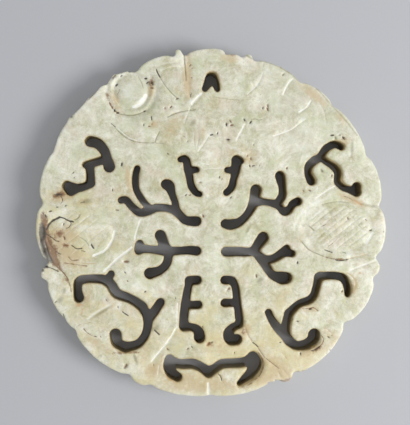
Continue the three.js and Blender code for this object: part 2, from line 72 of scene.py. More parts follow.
cad_low, cad_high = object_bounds()
NODE = "jade_plaque"
stone_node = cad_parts[NODE]
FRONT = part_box(NODE)[1].z / MM  # height of the front face
print(f"frame: {NODE}, {[round(side / MM, 1) for side in cad_high - cad_low]} mm")

# %% [markdown]
# ## The camera
# The plaque lies on its back, so the camera looks straight down on it from about 15 cm. At such
# a short distance the view fans out: the walls of the slots show on the side that is further
# from the point below the lens. That point lies a little left of the middle of the disc, so
# the camera leans slightly and a small shift does the rest of the framing.

# %% The camera
EYE = Vector((-9.0, 0.0, FRONT + 150.0)) * MM
AXIS_MEETS_FRONT = Vector((-5.0, 0.8, FRONT)) * MM
VIEW_MIDDLE = Vector((-1.0, 1.5, FRONT)) * MM
VIEW_HEIGHT = 70.8 * MM  # how much of the front the long side of the picture covers
SENSOR = 36.0


def new_object(name, data):
    made = bpy.data.objects.new(name, data)
    bpy.context.scene.collection.objects.link(made)
    return made


camera_data = bpy.data.cameras.new("camera")
camera_data.sensor_width = SENSOR
eye_distance = (EYE - AXIS_MEETS_FRONT).length
camera_data.lens = SENSOR * eye_distance / VIEW_HEIGHT
camera_data.shift_x = (VIEW_MIDDLE.x - AXIS_MEETS_FRONT.x) / VIEW_HEIGHT
camera_data.shift_y = (VIEW_MIDDLE.y - AXIS_MEETS_FRONT.y) / VIEW_HEIGHT
camera_data.clip_start = 0.01
camera = new_object("camera", camera_data)
backwards = (EYE - AXIS_MEETS_FRONT).normalized()
rightwards = Vector((0, 1, 0)).cross(backwards).normalized()
upwards = backwards.cross(rightwards)
turned = Matrix((rightwards, upwards, backwards)).transposed().to_4x4()
camera.matrix_world = Matrix.Translation(EYE) @ turned
bpy.context.scene.camera = camera
bpy.context.scene.view_settings.view_transform = "Standard"
print(f"camera: {camera_data.lens:.1f} mm lens, shift {camera_data.shift_x:.3f}")

# %% [markdown]
# ## Light and floor
# A plain pale floor, an even sky of soft light, and one large softbox low on the right. The
# softbox throws the soft shadow to the left and lets the cut lines read.

# %% Light and floor
FLOOR_GREY = (0.50, 0.505, 0.53, 1)
SKY_GREY = (0.97, 0.98, 1.0, 1)
SKY_STRENGTH = 0.55
SOFTBOX_POWER = 1.1  # watts: the whole set is small
SOFTBOX_SIZE = 0.20
SOFTBOX_DISTANCE = 0.40
SOFTBOX_AZIMUTH = math.radians(-15)  # round from +X towards +Y
SOFTBOX_ELEVATION = math.radians(42)
FLOOR_SIZE = 3.0
FLOOR_LEVEL = -0.02 * MM
FLOOR_LOOK = {"Base Color": FLOOR_GREY, "Roughness": 0.9}


def new_material(name, look):
    """A material with these settings of its Principled shader, and the shader."""
    material = bpy.data.materials.new(name)
    material.use_nodes = True
    shader = material.node_tree.nodes["Principled BSDF"]
    for label, value in look.items():
        shader.inputs[label].default_value = value
    return material, shader


def studio():
    half = FLOOR_SIZE / 2
    corners = [(-half, -half), (half, -half), (half, half), (-half, half)]
    sheet = bpy.data.meshes.new("floor")
    sheet.from_pydata([(x, y, FLOOR_LEVEL) for x, y in corners], [], [(0, 1, 2, 3)])
    sheet.materials.append(new_material("floor_paper", FLOOR_LOOK)[0])
    floor = new_object("floor", sheet)

    world = bpy.data.worlds.new("sky")
    world.use_nodes = True
    world.node_tree.nodes["Background"].inputs["Color"].default_value = SKY_GREY
    world.node_tree.nodes["Background"].inputs["Strength"].default_value = SKY_STRENGTH
    bpy.context.scene.world = world

    softbox = bpy.data.lights.new("softbox", "AREA")
    softbox.shape = "DISK"
    softbox.size = SOFTBOX_SIZE
    softbox.energy = SOFTBOX_POWER
    lamp = new_object("softbox", softbox)
    flat_reach = math.cos(SOFTBOX_ELEVATION)
    towards = Vector((
        flat_reach * math.cos(SOFTBOX_AZIMUTH),
        flat_reach * math.sin(SOFTBOX_AZIMUTH),
        math.sin(SOFTBOX_ELEVATION),
    ))
    lamp.location = towards * SOFTBOX_DISTANCE
    lamp.rotation_mode = "QUATERNION"
    lamp.rotation_quaternion = towards.to_track_quat("Z", "Y")


studio()
print(f"studio: a softbox of {SOFTBOX_POWER} W and a sky of strength {SKY_STRENGTH}")

# %% [markdown]
# ## Reading the outlines from the frame
# The fine mesh must have exactly the frame's rim and slots. The frame's node is loose
# triangles, so a copy of it is merged first. Then each slot is a closed chain of edges where
# the flat back ends, and the rim is the ring of edges just above the worn back edge.
# Nothing on the node itself is changed.

# %% Reading the outlines from the frame
SAME_LEVEL = 0.02 * MM
SAME_PLACE = 0.0005 * MM


def chain_loops(edges):
    """Orders edges that form closed loops into lists of points, in millimetres."""
    neighbours = {}
    for edge in edges:
        for vert in edge.verts:
            neighbours.setdefault(vert, []).append(edge.other_vert(vert))
    loops = []
    while neighbours:
        vert = next(iter(neighbours))
        loop = []
        while vert is not None:
            loop.append((vert.co.x / MM, vert.co.y / MM))
            onward = [other for other in neighbours.pop(vert) if other in neighbours]
            vert = onward[0] if onward else None
        loops.append(np.array(loop))
    return loops


def signed_area(loop):
    x, y = loop.T
    return 0.5 * np.sum(x * np.roll(y, -1) - y * np.roll(x, -1))


def read_outlines(node):
    """The rim (anticlockwise) and the slots (clockwise), so the stone is always on the left."""
    solid = bmesh.new()
    solid.from_mesh(node.data)
    bmesh.ops.remove_doubles(solid, verts=solid.verts, dist=SAME_PLACE)

    def on_back(face):
        return all(vert.co.z < SAME_LEVEL for vert in face.verts)

    back_ends = [e for e in solid.edges if sum(on_back(f) for f in e.link_faces) == 1]
    slots = sorted(chain_loops(back_ends), key=lambda loop: abs(signed_area(loop)))[:-1]
    full_reach = min(vert.co.z for vert in solid.verts if vert.co.z > SAME_LEVEL)
    ring = [e for e in solid.edges if all(abs(v.co.z - full_reach) < SAME_LEVEL for v in e.verts)]
    rim = max(chain_loops(ring), key=len)
    solid.free()
    rim = rim if signed_area(rim) > 0 else rim[::-1]
    slots = [slot if signed_area(slot) < 0 else slot[::-1] for slot in slots]
    return rim, slots


cad_rim, cad_slots = read_outlines(stone_node)
print(f"outlines: rim of {len(cad_rim)} points and {len(cad_slots)} slots")

# %% [markdown]
# ## Smooth outlines with a hand-made edge
# The solid's outlines are straight between points. A centripetal Catmull-Rom curve passes
# through the same points without loops or overshoot, and is sampled about four times in a
# millimetre. At a few places a soft brush pulls the rim out to its true line. A wire saw
# wanders a little, so the slots get a faint wobble, and the rim loses small nicks, always
# inwards, so the plaque never grows past its frame.

# %% Smooth outlines with a hand-made edge
OUTLINE_STEP = 0.23
SAW_WOBBLE = 0.045
SLOW_SIZE, QUICK_SIZE = 1.4, 0.45  # how long the wobbles and the nicks are
RIM_WEAR = 0.10
NOISE_SEED_STEP = 7.3  # seeds lie this far apart in the noise


def smooth_path(points, step, closed):
    """Points every step or so along a centripetal Catmull-Rom curve."""
    points = np.asarray(points, float)
    if closed:
        chain = np.vstack([points[-1], points, points[0], points[1]])
    else:
        chain = np.vstack([2 * points[0] - points[1], points, 2 * points[-1] - points[-2]])
    path = []
    for p0, p1, p2, p3 in zip(chain, chain[1:], chain[2:], chain[3:]):
        count = max(1, round(float(np.hypot(*(p2 - p1))) / step))
        k1 = math.sqrt(np.hypot(*(p1 - p0)))
        k2 = k1 + math.sqrt(np.hypot(*(p2 - p1)))
        k3 = k2 + math.sqrt(np.hypot(*(p3 - p2)))
        t = (k1 + (k2 - k1) * np.arange(count) / count)[:, None]
        a1 = ((k1 - t) * p0 + t * p1) / k1
        a2 = ((k2 - t) * p1 + (t - k1) * p2) / (k2 - k1)
        a3 = ((k3 - t) * p2 + (t - k2) * p3) / (k3 - k2)
        b1 = ((k2 - t) * a1 + t * a2) / k2
        b2 = ((k3 - t) * a2 + (t - k1) * a3) / (k3 - k1)
        path.append(((k2 - t) * b1 + (t - k1) * b2) / (k2 - k1))
    if not closed:
        path.append(points[-1:])
    return np.vstack(path)


def left_normals(loop):
    along = np.roll(loop, -1, 0) - np.roll(loop, 1, 0)
    along /= np.linalg.norm(along, axis=1)[:, None]
    return np.column_stack([-along[:, 1], along[:, 0]])


def smooth_noise(points, size, seed):
    """Smooth noise from -1 to 1, with features about `size` millimetres across."""
    z = NOISE_SEED_STEP * seed
    return np.array([noise.noise(Vector((x / size, y / size, z))) for x, y in points])


def worn(loop, is_rim):
    into_stone = left_normals(loop)
    slow = smooth_noise(loop, SLOW_SIZE, 1)
    quick = smooth_noise(loop, QUICK_SIZE, 2)
    if is_rim:
        shift = RIM_WEAR * (0.5 + 0.3 * slow + 0.5 * np.abs(quick))
    else:
        shift = SAW_WOBBLE * (slow + 0.6 * quick)
    return loop + into_stone * shift[:, None]


# places where the real rim leaves the solid's: x, y, reach, shift along X, shift along Y
RIM_TOUCHES = [
    (-25.6, 12.1, 0.8, -0.45, 0.2), (-23.0, 17.0, 0.9, -0.55, 0.35), (-20.1, 20.0, 0.9, -0.55, 0.4),
    (-15.8, 23.5, 1.0, -0.4, 1.0), (-17.6, 23.2, 0.5, 0.15, -0.15),
]


def touched_up(loop):
    """The same loop, pulled a little where a soft brush was put down."""
    moved = loop.copy()
    for x, y, reach, dx, dy in RIM_TOUCHES:
        gap = np.hypot(loop[:, 0] - x, loop[:, 1] - y)
        moved += np.exp(-((gap / reach) ** 2))[:, None] * np.array([dx, dy])
    return moved


loops = [worn(touched_up(smooth_path(cad_rim, OUTLINE_STEP, True)), True)]
loops += [worn(smooth_path(slot, OUTLINE_STEP, True), False) for slot in cad_slots]
print(f"smooth outlines: {sum(map(len, loops))} points")

# %% [markdown]
# ## How far a point is from the nearest edge
# Worn edges, dirt along the slots and the spacing of the mesh all depend on one measure: the
# distance to the nearest outline. A k-d tree finds the nearest outline point, and the two
# segments that meet there give the exact distance.

# %% How far a point is from the nearest edge
outline = np.vstack(loops)
outline_next = np.concatenate([
    np.roll(np.arange(len(loop)), -1) + start
    for loop, start in zip(loops, np.cumsum([0] + [len(loop) for loop in loops]))
])
outline_before = np.argsort(outline_next)
outline_normal = np.vstack([left_normals(loop) for loop in loops])
on_rim = np.arange(len(outline)) < len(loops[0])


def tree_of(points):
    tree = KDTree(len(points))
    for i, (x, y) in enumerate(points):
        tree.insert((x, y, 0), i)
    tree.balance()
    return tree


outline_tree = tree_of(outline)


def segment_distance(points, a, b):
    ab = b - a
    t = np.clip(np.sum((points - a) * ab, 1) / np.sum(ab * ab, 1), 0, 1)
    return np.linalg.norm(points - a - t[:, None] * ab, axis=1)


def edge_distance(points):
    """Distance to the nearest outline, and which outline point is nearest."""
    nearest = np.array([outline_tree.find((x, y, 0))[1] for x, y in points])
    here = outline[nearest]
    ahead = segment_distance(points, here, outline[outline_next[nearest]])
    behind = segment_distance(points, outline[outline_before[nearest]], here)
    return np.minimum(ahead, behind), nearest


def inside(points, loop):
    """Which points lie inside a closed loop, by counting crossings."""
    found = np.zeros(len(points), bool)
    low, high = loop.min(0), loop.max(0)
    near = np.flatnonzero(np.all((points > low) & (points < high), axis=1))
    x, y = points[near].T
    odd = np.zeros(len(near), bool)
    for (x0, y0), (x1, y1) in zip(loop, np.roll(loop, -1, 0)):
        if y0 != y1:
            odd ^= ((y0 > y) != (y1 > y)) & (x < (x1 - x0) * (y - y0) / (y1 - y0) + x0)
    found[near] = odd
    return found


def in_stone(points):
    found = inside(points, loops[0])
    for slot in loops[1:]:
        found &= ~inside(points, slot)
    return found


# %% [markdown]
# ## The carver's lines
# Each line on the front is a shallow cut along a curve. A row gives its colour and how strong
# that is, its width and depth, and how far the ground slopes down to it from the left of its
# direction (negative: from the right), which is how a carver lifts a petal off its
# background. Fresh-looking lines are chalky white, because ground jade scatters light; old
# ones hold brown dirt. Two wide white bands that are barely sunk are painted highlights: the
# crescent on the boss and a bright edge of the right medallion.

# %% The carver's lines
# kind, strength of colour, width, depth, slope, points; all in millimetres
CUTS = [
    # petals on both sides of the hanging hole
    ("grime", 0.9, 0.34, 0.16, 0.8, [(-9.1, 25.3), (-8.9, 24.8), (-8.45, 24.0)]),
    ("olive", 1.0, 0.24, 0.12, 0.8, [(-8.45, 24.0), (-7.9, 23.1), (-6.9, 21.8), (-5.7, 20.6)]),
    ("tan", 0.75, 1.0, 0.1, 0, [(-3.85, 28.2), (-3.8, 26.0), (-3.7, 23.5), (-3.5, 20.8)]),
    ("olive", 1.0, 0.26, 0.16, 0, [(-4.5, 28.2), (-4.45, 27.0), (-4.3, 25.5), (-4.15, 23.5)]),
    ("chalk", 1.0, 0.42, 0.16, 0.8, [(-1.5, 21.4), (-2.4, 20.5), (-3.3, 19.4)]),
    ("chalk", 0.6, 0.28, 0.08, 0, [(-3.3, 19.4), (-3.8, 18.2), (-4.5, 16.4)]),
    ("chalk", 0.5, 0.3, 0.1, -0.8, [(-8.3, 25.2), (-7.0, 25.7), (-4.7, 25.9)]),
    ("chalk", 0.9, 0.28, 0.12, -0.8, [(8.6, 24.8), (8.3, 23.8), (7.7, 22.8), (6.9, 22.0), (6.1, 21.3)]),
    ("chalk", 0.5, 0.3, 0.06, 0, [(8.75, 26.7), (8.6, 25.8)]),
    ("chalk", 1.0, 0.36, 0.14, 0.8, [(13.6, 23.8), (13.0, 23.1), (12.5, 22.2), (12.1, 21.3)]),
    ("chalk", 1.0, 0.46, 0.14, -0.8, [(16.7, 20.2), (16.3, 19.4), (15.6, 18.8), (14.8, 18.3)]),
    ("chalk", 0.9, 0.28, 0.12, 0.8,
     [(15.8, 17.1), (14.9, 16.5), (13.6, 15.5), (12.0, 14.8), (10.4, 14.3)]),
    ("chalk", 0.4, 0.4, 0.05, 0, [(18.1, 19.9), (18.9, 18.4), (19.3, 16.4)]),
    ("olive", 0.6, 0.3, 0.05, 0, [(0.5, 20.8), (2.5, 20.5), (4.7, 20.3)]),
    ("rust", 0.7, 0.22, 0.1, 0, [(6.9, 17.1), (7.5, 17.15), (8.0, 16.95), (8.9, 17.25)]),
    ("grime", 0.9, 0.26, 0.12, 0, [(2.3, 28.8), (3.4, 28.4), (4.4, 28.0), (5.1, 27.75), (5.8, 28.0)]),
    # the boss and the leaf under it
    ("olive", 0.8, 0.24, 0.05, 0, [(-12.1, 24.2), (-11.6, 23.2), (-11.3, 22.3)]),
    # painted highlight: this wide, barely sunk chalk band is the bright crescent of light on the boss's
    # lower right
    ("chalk", 1.0, 0.95, 0.02, 0, [(-10.9, 21.0), (-11.25, 20.2), (-12.0, 19.5), (-12.9, 19.1)]),
    ("chalk", 0.5, 0.2, 0.04, 0, [(-15.9, 20.2), (-15.1, 19.3), (-14.0, 18.9), (-13.0, 18.8)]),
    ("rust", 0.9, 0.32, 0.12, 0, [(-16.9, 19.8), (-16.4, 18.9), (-15.7, 18.2), (-15.2, 17.95)]),
    ("olive", 1.0, 0.3, 0.12, 0,
     [(-15.2, 17.95), (-14.0, 17.75), (-12.8, 17.8), (-11.9, 18.05), (-11.0, 18.45)]),
    ("rust", 0.7, 0.18, 0.06, 0, [(-15.2, 22.0), (-15.4, 21.6), (-15.7, 21.1)]),
    ("olive", 1.0, 0.28, 0.1, -0.8, [(-2.6, 18.65), (-4.5, 18.4), (-6.1, 17.95), (-7.2, 17.4)]),
    ("grime", 0.8, 0.24, 0.12, 0, [(-16.5, 16.2), (-15.9, 15.7)]),
    ("chalk", 0.8, 0.24, 0.12, 0, [(-15.4, 15.4), (-14.4, 14.5), (-13.3, 13.8), (-12.4, 13.5)]),
    ("olive", 0.9, 0.24, 0.16, 1.0, [(-15.9, 15.5), (-15.0, 14.6), (-13.9, 13.8), (-12.8, 13.35)]),
    ("rust", 0.75, 0.22, 0.14, 1.0, [(-12.9, 13.35), (-11.5, 13.15), (-9.4, 13.1)]),
    ("olive", 0.7, 0.22, 0.08, 0, [(-9.4, 13.1), (-7.9, 13.0)]),
    ("olive", 1.0, 0.26, 0.1, 0, [(-9.3, 13.2), (-9.1, 13.9), (-8.6, 14.9)]),
    # fine strokes above the middle
    ("chalk", 0.8, 0.5, 0.08, 0, [(5.7, 16.3), (5.0, 15.0), (4.2, 13.5)]),
    ("chalk", 0.9, 0.22, 0.08, 0, [(-0.4, 14.3), (-1.2, 13.0), (-2.1, 11.8)]),
    ("chalk", 0.6, 0.2, 0.05, 0, [(-2.9, 14.8), (-2.9, 13.5), (-2.7, 12.3)]),
    ("chalk", 0.5, 0.18, 0.05, 0, [(-2.0, 14.6), (-2.2, 13.2), (-2.4, 12.2)]),
    ("chalk", 0.7, 0.34, 0.05, 0, [(-1.6, 9.75), (-0.4, 9.5)]),
    ("chalk", 0.7, 0.24, 0.08, 0, [(-1.1, 8.75), (0.6, 8.85), (2.1, 8.9)]),
    # the frame round the right medallion
    ("chalk", 0.9, 0.32, 0.12, 0.8, [(20.9, 6.0), (20.0, 5.5), (18.8, 4.7), (17.6, 3.9)]),
    ("chalk", 0.55, 1.0, 0.06, 0, [(19.5, 3.9), (17.2, 2.9), (15.6, 1.6), (14.4, 0.2), (13.9, -1.4)]),
    ("olive", 0.8, 0.3, 0.06, 0, [(18.6, 2.8), (20.0, 3.15), (21.5, 3.3), (23.0, 3.15)]),
    ("grime", 0.6, 0.24, 0.12, 0, [(22.3, 4.25), (23.2, 3.95), (23.8, 3.5)]),
    ("ember", 0.6, 0.46, 0.08, 0, [(23.8, 3.7), (24.6, 3.2), (25.4, 2.75)]),
    ("olive", 0.6, 0.7, 0.03, 0, [(25.4, 2.9), (27.0, 2.6), (28.2, 2.5)]),
    ("ember", 0.7, 0.26, 0.1, 0, [(14.8, -3.0), (15.3, -3.5)]),
    ("olive", 1.0, 0.28, 0.12, -0.8, [(15.3, -3.5), (16.4, -4.7), (17.6, -5.3), (18.9, -5.85)]),
    ("rust", 0.8, 0.28, 0.12, -0.8, [(18.9, -5.85), (19.9, -6.15), (20.7, -6.3)]),
    ("grime", 0.8, 0.32, 0.14, -0.6, [(20.6, -6.3), (21.4, -6.55), (22.2, -6.5), (23.0, -6.3)]),
    ("tan", 0.9, 0.26, 0.1, -0.6, [(23.0, -6.2), (24.6, -5.9), (26.4, -5.4)]),
    ("grime", 0.8, 0.24, 0.08, 0, [(19.1, -4.75), (20.2, -5.15)]),
    ("grime", 0.7, 0.24, 0.08, 0, [(22.0, -5.1), (22.6, -5.3)]),
    ("grime", 0.7, 0.18, 0.06, 0, [(19.7, -4.15), (20.4, -3.7)]),
    ("grime", 0.7, 0.18, 0.06, 0, [(18.6, -0.85), (19.2, -0.5)]),
    ("chalk", 0.9, 0.18, 0.05, 0, [(20.1, -3.6), (20.9, -3.0)]),
    # painted highlight: a bright edge of light on the right medallion's frame, as a barely sunk chalk
    # line
    ("chalk", 0.9, 0.6, 0.05, 0, [(27.2, -1.9), (26.6, -2.9), (26.2, -3.6)]),
    ("olive", 0.9, 0.4, 0.08, 0, [(16.5, -0.8), (17.3, -1.5)]),
    ("chalk", 0.7, 0.6, 0.1, 0.8, [(23.4, -8.1), (25.4, -7.4), (27.6, -6.5)]),
    # the frame round the left medallion, and the stained ring in it
    ("chalk", 0.9, 0.46, 0.12, -0.8, [(-11.7, 0.3), (-12.3, -1.3), (-12.7, -3.0)]),
    ("chalk", 1.0, 0.55, 0.14, -1.0,
     [(-13.2, -4.3), (-14.0, -5.0), (-15.0, -5.7), (-16.2, -6.8), (-17.8, -8.3)]),
    ("chalk", 1.0, 0.55, 0.1, -0.8,
     [(-16.1, -1.6), (-16.35, -2.8), (-16.9, -3.9), (-17.8, -4.9), (-19.6, -5.7)]),
    ("grime", 0.9, 0.5, 0.2, 0, [(-27.3, -1.2), (-26.9, -0.4), (-26.3, 0.15), (-25.2, 0.7)]),
    ("grime", 0.9, 0.38, 0.16, 0, [(-25.2, 0.75), (-24.5, 0.55), (-23.6, 0.1), (-23.0, 0.0)]),
    ("grime", 0.7, 0.24, 0.1, 0, [(-23.4, 0.0), (-23.3, -0.4), (-23.7, -1.0), (-24.1, -1.1)]),
    ("olive", 1.0, 0.36, 0.1, 0, [(-22.6, 0.3), (-22.1, 0.6), (-21.8, 1.1)]),
    ("chalk", 0.7, 0.26, 0.1, 0, [(-21.7, -0.1), (-20.6, 0.8)]),
    ("grime", 0.85, 0.26, 0.14, 0, [(-27.2, -2.2), (-26.4, -2.7), (-25.8, -3.2), (-25.3, -3.3)]),
    ("rust", 0.7, 0.2, 0.1, 0, [(-27.3, -2.7), (-26.8, -3.9), (-26.2, -4.6), (-25.6, -5.2)]),
    ("grime", 0.75, 0.34, 0.1, 0, [(-26.0, -4.9), (-25.5, -5.25), (-25.0, -5.4)]),
    ("grime", 0.9, 0.3, 0.14, 0, [(-23.1, -4.0), (-22.4, -4.5), (-21.6, -4.5)]),
    ("grime", 0.8, 0.22, 0.1, 0, [(-21.5, -4.85), (-21.0, -5.0)]),
    ("grime", 0.9, 0.38, 0.14, 0, [(-19.9, -3.9), (-19.6, -4.4)]),
    ("olive", 0.8, 0.26, 0.08, 0, [(-21.8, -2.6), (-20.9, -3.2), (-20.4, -3.9)]),
    ("rust", 0.9, 0.28, 0.12, 0, [(-23.7, -5.9), (-23.2, -6.4), (-22.0, -6.4)]),
    ("rust", 0.7, 0.24, 0.08, 0, [(-24.2, -6.9), (-22.2, -7.2), (-20.6, -7.4)]),
    ("tan", 0.9, 0.3, 0.06, 0, [(-22.6, -6.9), (-20.6, -7.0), (-19.3, -7.0)]),
    ("grime", 1.0, 0.75, 0.24, 0, [(-27.9, -0.9), (-27.9, -1.9), (-27.9, -2.9)]),
    ("grime", 0.9, 0.42, 0.2, 0,
     [(-28.3, -2.6), (-28.2, -3.6), (-27.9, -4.6), (-27.5, -5.6), (-27.1, -6.7)]),
    ("grime", 0.75, 0.34, 0.16, 0, [(-27.6, -3.3), (-27.2, -4.6), (-26.9, -5.7), (-26.4, -6.6)]),
    ("rust", 0.9, 0.3, 0.14, 0,
     [(-26.6, -6.5), (-26.0, -7.2), (-25.2, -7.9), (-24.3, -8.8), (-23.7, -9.7)]),
    ("rust", 0.7, 0.28, 0.08, 0, [(-23.7, -9.7), (-23.4, -10.8), (-23.2, -11.9)]),
    ("grime", 1.0, 0.5, 0.6, 0, [(-28.7, -7.4), (-27.8, -7.4), (-27.0, -7.6)]),
    ("grime", 0.9, 0.26, 0.2, 0, [(-27.0, -7.6), (-26.2, -7.9), (-25.4, -8.3)]),
    # ribbons below
    ("chalk", 0.6, 0.8, 0.1, 0.8, [(-16.9, -13.9), (-18.2, -14.6), (-19.5, -15.4), (-20.5, -16.2)]),
    ("chalk", 0.7, 0.4, 0.06, 0, [(-5.55, -13.6), (-5.6, -15.5), (-5.7, -17.6)]),
    ("chalk", 1.0, 0.38, 0.18, 1.0,
     [(-5.7, -17.6), (-6.5, -19.0), (-7.3, -20.2), (-8.3, -21.4), (-9.9, -23.3)]),
    ("chalk", 0.6, 0.36, 0.05, 0, [(-8.7, -24.0), (-8.9, -25.5)]),
    ("tan", 0.8, 0.36, 0.1, 0, [(5.6, -17.5), (6.1, -18.8), (6.9, -20.1)]),
    ("grime", 0.8, 0.36, 0.14, 0, [(7.0, -20.2), (7.3, -20.45)]),
    ("grime", 0.8, 0.4, 0.14, 0, [(7.5, -20.6), (7.9, -21.0)]),
    ("rust", 0.8, 0.24, 0.12, -0.8, [(7.9, -21.1), (8.4, -21.9), (9.0, -22.7)]),
    ("rust", 0.75, 0.2, 0.12, -0.8, [(9.0, -22.7), (10.0, -23.5), (11.3, -24.5)]),
    ("tan", 0.9, 0.32, 0.08, 0, [(11.2, -25.1), (11.8, -26.1)]),
    ("tan", 0.8, 0.28, 0.06, 0, [(11.9, -24.6), (13.2, -26.2)]),
    ("tan", 0.7, 0.28, 0.06, 0, [(11.9, -21.9), (12.7, -22.9)]),
    ("chalk", 0.8, 0.55, 0.1, 0, [(-0.5, -26.9), (-0.4, -29.0)]),
    # broken edges, gashes and veins
    ("rust", 0.85, 0.26, 0.08, 0,
     [(7.9, -21.9), (8.5, -22.8), (8.75, -23.8), (8.6, -24.9), (8.1, -25.8), (7.4, -26.4)]),
    ("rust", 0.8, 0.26, 0.08, 0, [(6.9, -26.9), (6.1, -27.35)]),
    ("rust", 0.8, 0.22, 0.08, 0, [(5.4, -27.6), (4.5, -27.7)]),
    ("rust", 0.8, 0.22, 0.12, 0, [(18.5, -19.0), (18.8, -19.6), (18.65, -20.4), (18.2, -20.9)]),
    ("grime", 0.9, 0.28, 0.16, 0, [(18.2, -20.9), (17.6, -21.35), (16.9, -21.6)]),
    ("rust", 0.8, 0.24, 0.12, 0, [(17.8, -20.6), (17.0, -21.15), (15.6, -21.5), (14.4, -21.5)]),
    ("chalk", 0.7, 0.16, 0.05, 0, [(18.25, -20.1), (17.6, -20.75)]),
    ("grime", 0.8, 0.2, 0.12, 0, [(13.2, -17.6), (13.4, -16.9), (13.8, -16.2)]),
    ("rust", 0.8, 0.3, 0.08, 0, [(15.3, -14.6), (16.3, -14.55), (17.1, -14.4), (17.9, -14.9)]),
    ("tan", 0.9, 0.26, 0.08, 0, [(22.6, -8.5), (23.7, -9.2), (24.2, -10.3), (24.0, -11.5)]),
    ("tan", 0.8, 0.2, 0.06, 0, [(19.3, -17.9), (20.4, -18.8)]),
    ("grime", 0.8, 0.2, 0.2, 0, [(19.9, -21.4), (20.2, -21.9)]),
    ("grime", 0.8, 0.2, 0.2, 0, [(19.3, -22.1), (19.7, -22.4)]),
    ("chalk", 1.0, 0.2, 0.1, 0, [(20.3, -21.2), (20.0, -22.4)]),
    ("rust", 0.8, 0.24, 0.1, 0, [(14.1, -25.1), (15.2, -25.0), (16.4, -24.8)]),
    ("grime", 0.9, 0.28, 0.14, 0, [(1.2, -25.4), (1.6, -25.8)]),
    ("grime", 0.9, 0.24, 0.12, 0, [(1.65, -26.0), (1.8, -26.5)]),
    ("grime", 0.9, 0.34, 0.18, 0, [(-9.4, -18.1), (-9.1, -18.4), (-8.6, -18.85)]),
    ("grime", 0.9, 0.3, 0.16, 0, [(-14.7, -15.05), (-14.3, -15.35), (-13.8, -15.65)]),
    ("grime", 0.9, 0.28, 0.14, 0, [(-24.6, -15.3), (-24.4, -15.9), (-24.3, -16.4)]),
    ("rust", 0.9, 0.26, 0.12, 0, [(-21.1, -17.9), (-20.7, -18.4)]),
    ("rust", 0.7, 0.24, 0.08, 0, [(-20.7, -18.4), (-19.9, -18.9), (-19.0, -19.2)]),
    ("rust", 0.5, 0.24, 0.06, 0, [(-22.4, -17.6), (-21.8, -17.1), (-20.8, -16.9), (-19.9, -16.7)]),
    ("grime", 0.7, 0.24, 0.1, 0, [(-26.0, 4.5), (-25.2, 4.4), (-24.6, 4.6)]),
    ("grime", 0.7, 0.26, 0.1, 0, [(-25.0, 4.3), (-24.7, 3.6), (-24.9, 3.1)]),
    ("grime", 0.7, 0.26, 0.06, 0, [(-21.6, 3.15), (-21.0, 3.25)]),
    ("grime", 0.8, 0.2, 0.15, 0, [(-3.35, 21.5), (-3.35, 20.8)]),
    ("grime", 0.8, 0.3, 0.15, 0, [(-9.95, 17.4), (-9.85, 16.9)]),
    # painted shade: a dark olive line along the rim's edge at the upper right, where shade falls at the
    # edge
    ("olive", 0.8, 0.5, 0.02, 0, [(5.9, 27.8), (7.3, 27.1), (10.0, 26.5), (13.0, 25.0), (14.7, 23.6)]),
    ("olive", 0.7, 0.45, 0.02, 0,
     [(14.7, 23.6), (17.0, 22.9), (20.3, 19.4), (22.3, 17.3), (24.6, 14.4)]),
]
CUT_STEP = 0.2
CUT_ROWS = (-1.0, -0.5, 0.0, 0.5, 1.0)  # where mesh points lie across a cut, in half-widths


def cut_rows(path, half_width):
    """Mesh points along a cut, in rows on both sides of its middle line."""
    along = np.gradient(path, axis=0)
    along /= np.linalg.norm(along, axis=1)[:, None]
    side = np.column_stack([-along[:, 1], along[:, 0]])
    return np.vstack([path + side * row * half_width for row in CUT_ROWS])


cut_paths = [smooth_path(points, CUT_STEP, False) for *_, points in CUTS]
print(f"cuts: {len(CUTS)}, {sum(map(len, cut_paths)) * CUT_STEP:.0f} mm in all")

# %% [markdown]
# ## Node trees written as expressions
# Both the carving and the stone's colour are node trees. This small class wraps one output
# socket, so that sums and products of sockets add the Math nodes themselves, and one method
# adds any other node.

# %% Node trees written as expressions
class Value:
    """One output socket of a node tree."""

    def __init__(self, tree, socket):
        self.tree, self.socket = tree, socket

    def __add__(self, other):
        return maths(self.tree, "ADD", self, other)

    def __radd__(self, other):
        return maths(self.tree, "ADD", other, self)

    def __sub__(self, other):
        return maths(self.tree, "SUBTRACT", self, other)

    def __rsub__(self, other):
        return maths(self.tree, "SUBTRACT", other, self)

    def __mul__(self, other):
        return maths(self.tree, "MULTIPLY", self, other)

    def __truediv__(self, other):
        return maths(self.tree, "DIVIDE", self, other)

    def __pow__(self, other):
        return maths(self.tree, "POWER", self, other)


def add_node(tree, kind, settings=None, sockets=None, out=0):
    """Adds a node: its settings first, then the values or links of its sockets."""
    made = tree.nodes.new(kind)
    for name, value in (settings or {}).items():
        setattr(made, name, value)
    for key, value in (sockets or {}).items():
        if isinstance(value, Value):
            tree.links.new(value.socket, made.inputs[key])
        else:
            made.inputs[key].default_value = value
    return Value(tree, made.outputs[out])


def output(value, name):
    """Another output of the node that a value comes from."""
    return Value(value.tree, value.socket.node.outputs[name])


def maths(tree, operation, *values):
    return add_node(tree, "ShaderNodeMath", {"operation": operation}, dict(enumerate(values)))


def greater(a, b):
    return maths(a.tree, "MAXIMUM", a, b)


def smooth_step(value, low, high, from_zero=0.0, to_one=1.0):
    """0 below low and 1 above high (or the two values given), with a soft step between."""
    sockets = {
        "Value": value, "From Min": low, "From Max": high, "To Min": from_zero, "To Max": to_one,
    }
    return add_node(value.tree, "ShaderNodeMapRange", {"interpolation_type": "SMOOTHSTEP"}, sockets)


def straight(value, low, high):
    """0 at low and 1 at high, straight between."""
    sockets = {"Value": value, "From Min": low, "From Max": high}
    return add_node(value.tree, "ShaderNodeMapRange", None, sockets)


def vector_maths(tree, operation, *values, out=0):
    return add_node(tree, "ShaderNodeVectorMath", {"operation": operation}, dict(enumerate(values)), out)


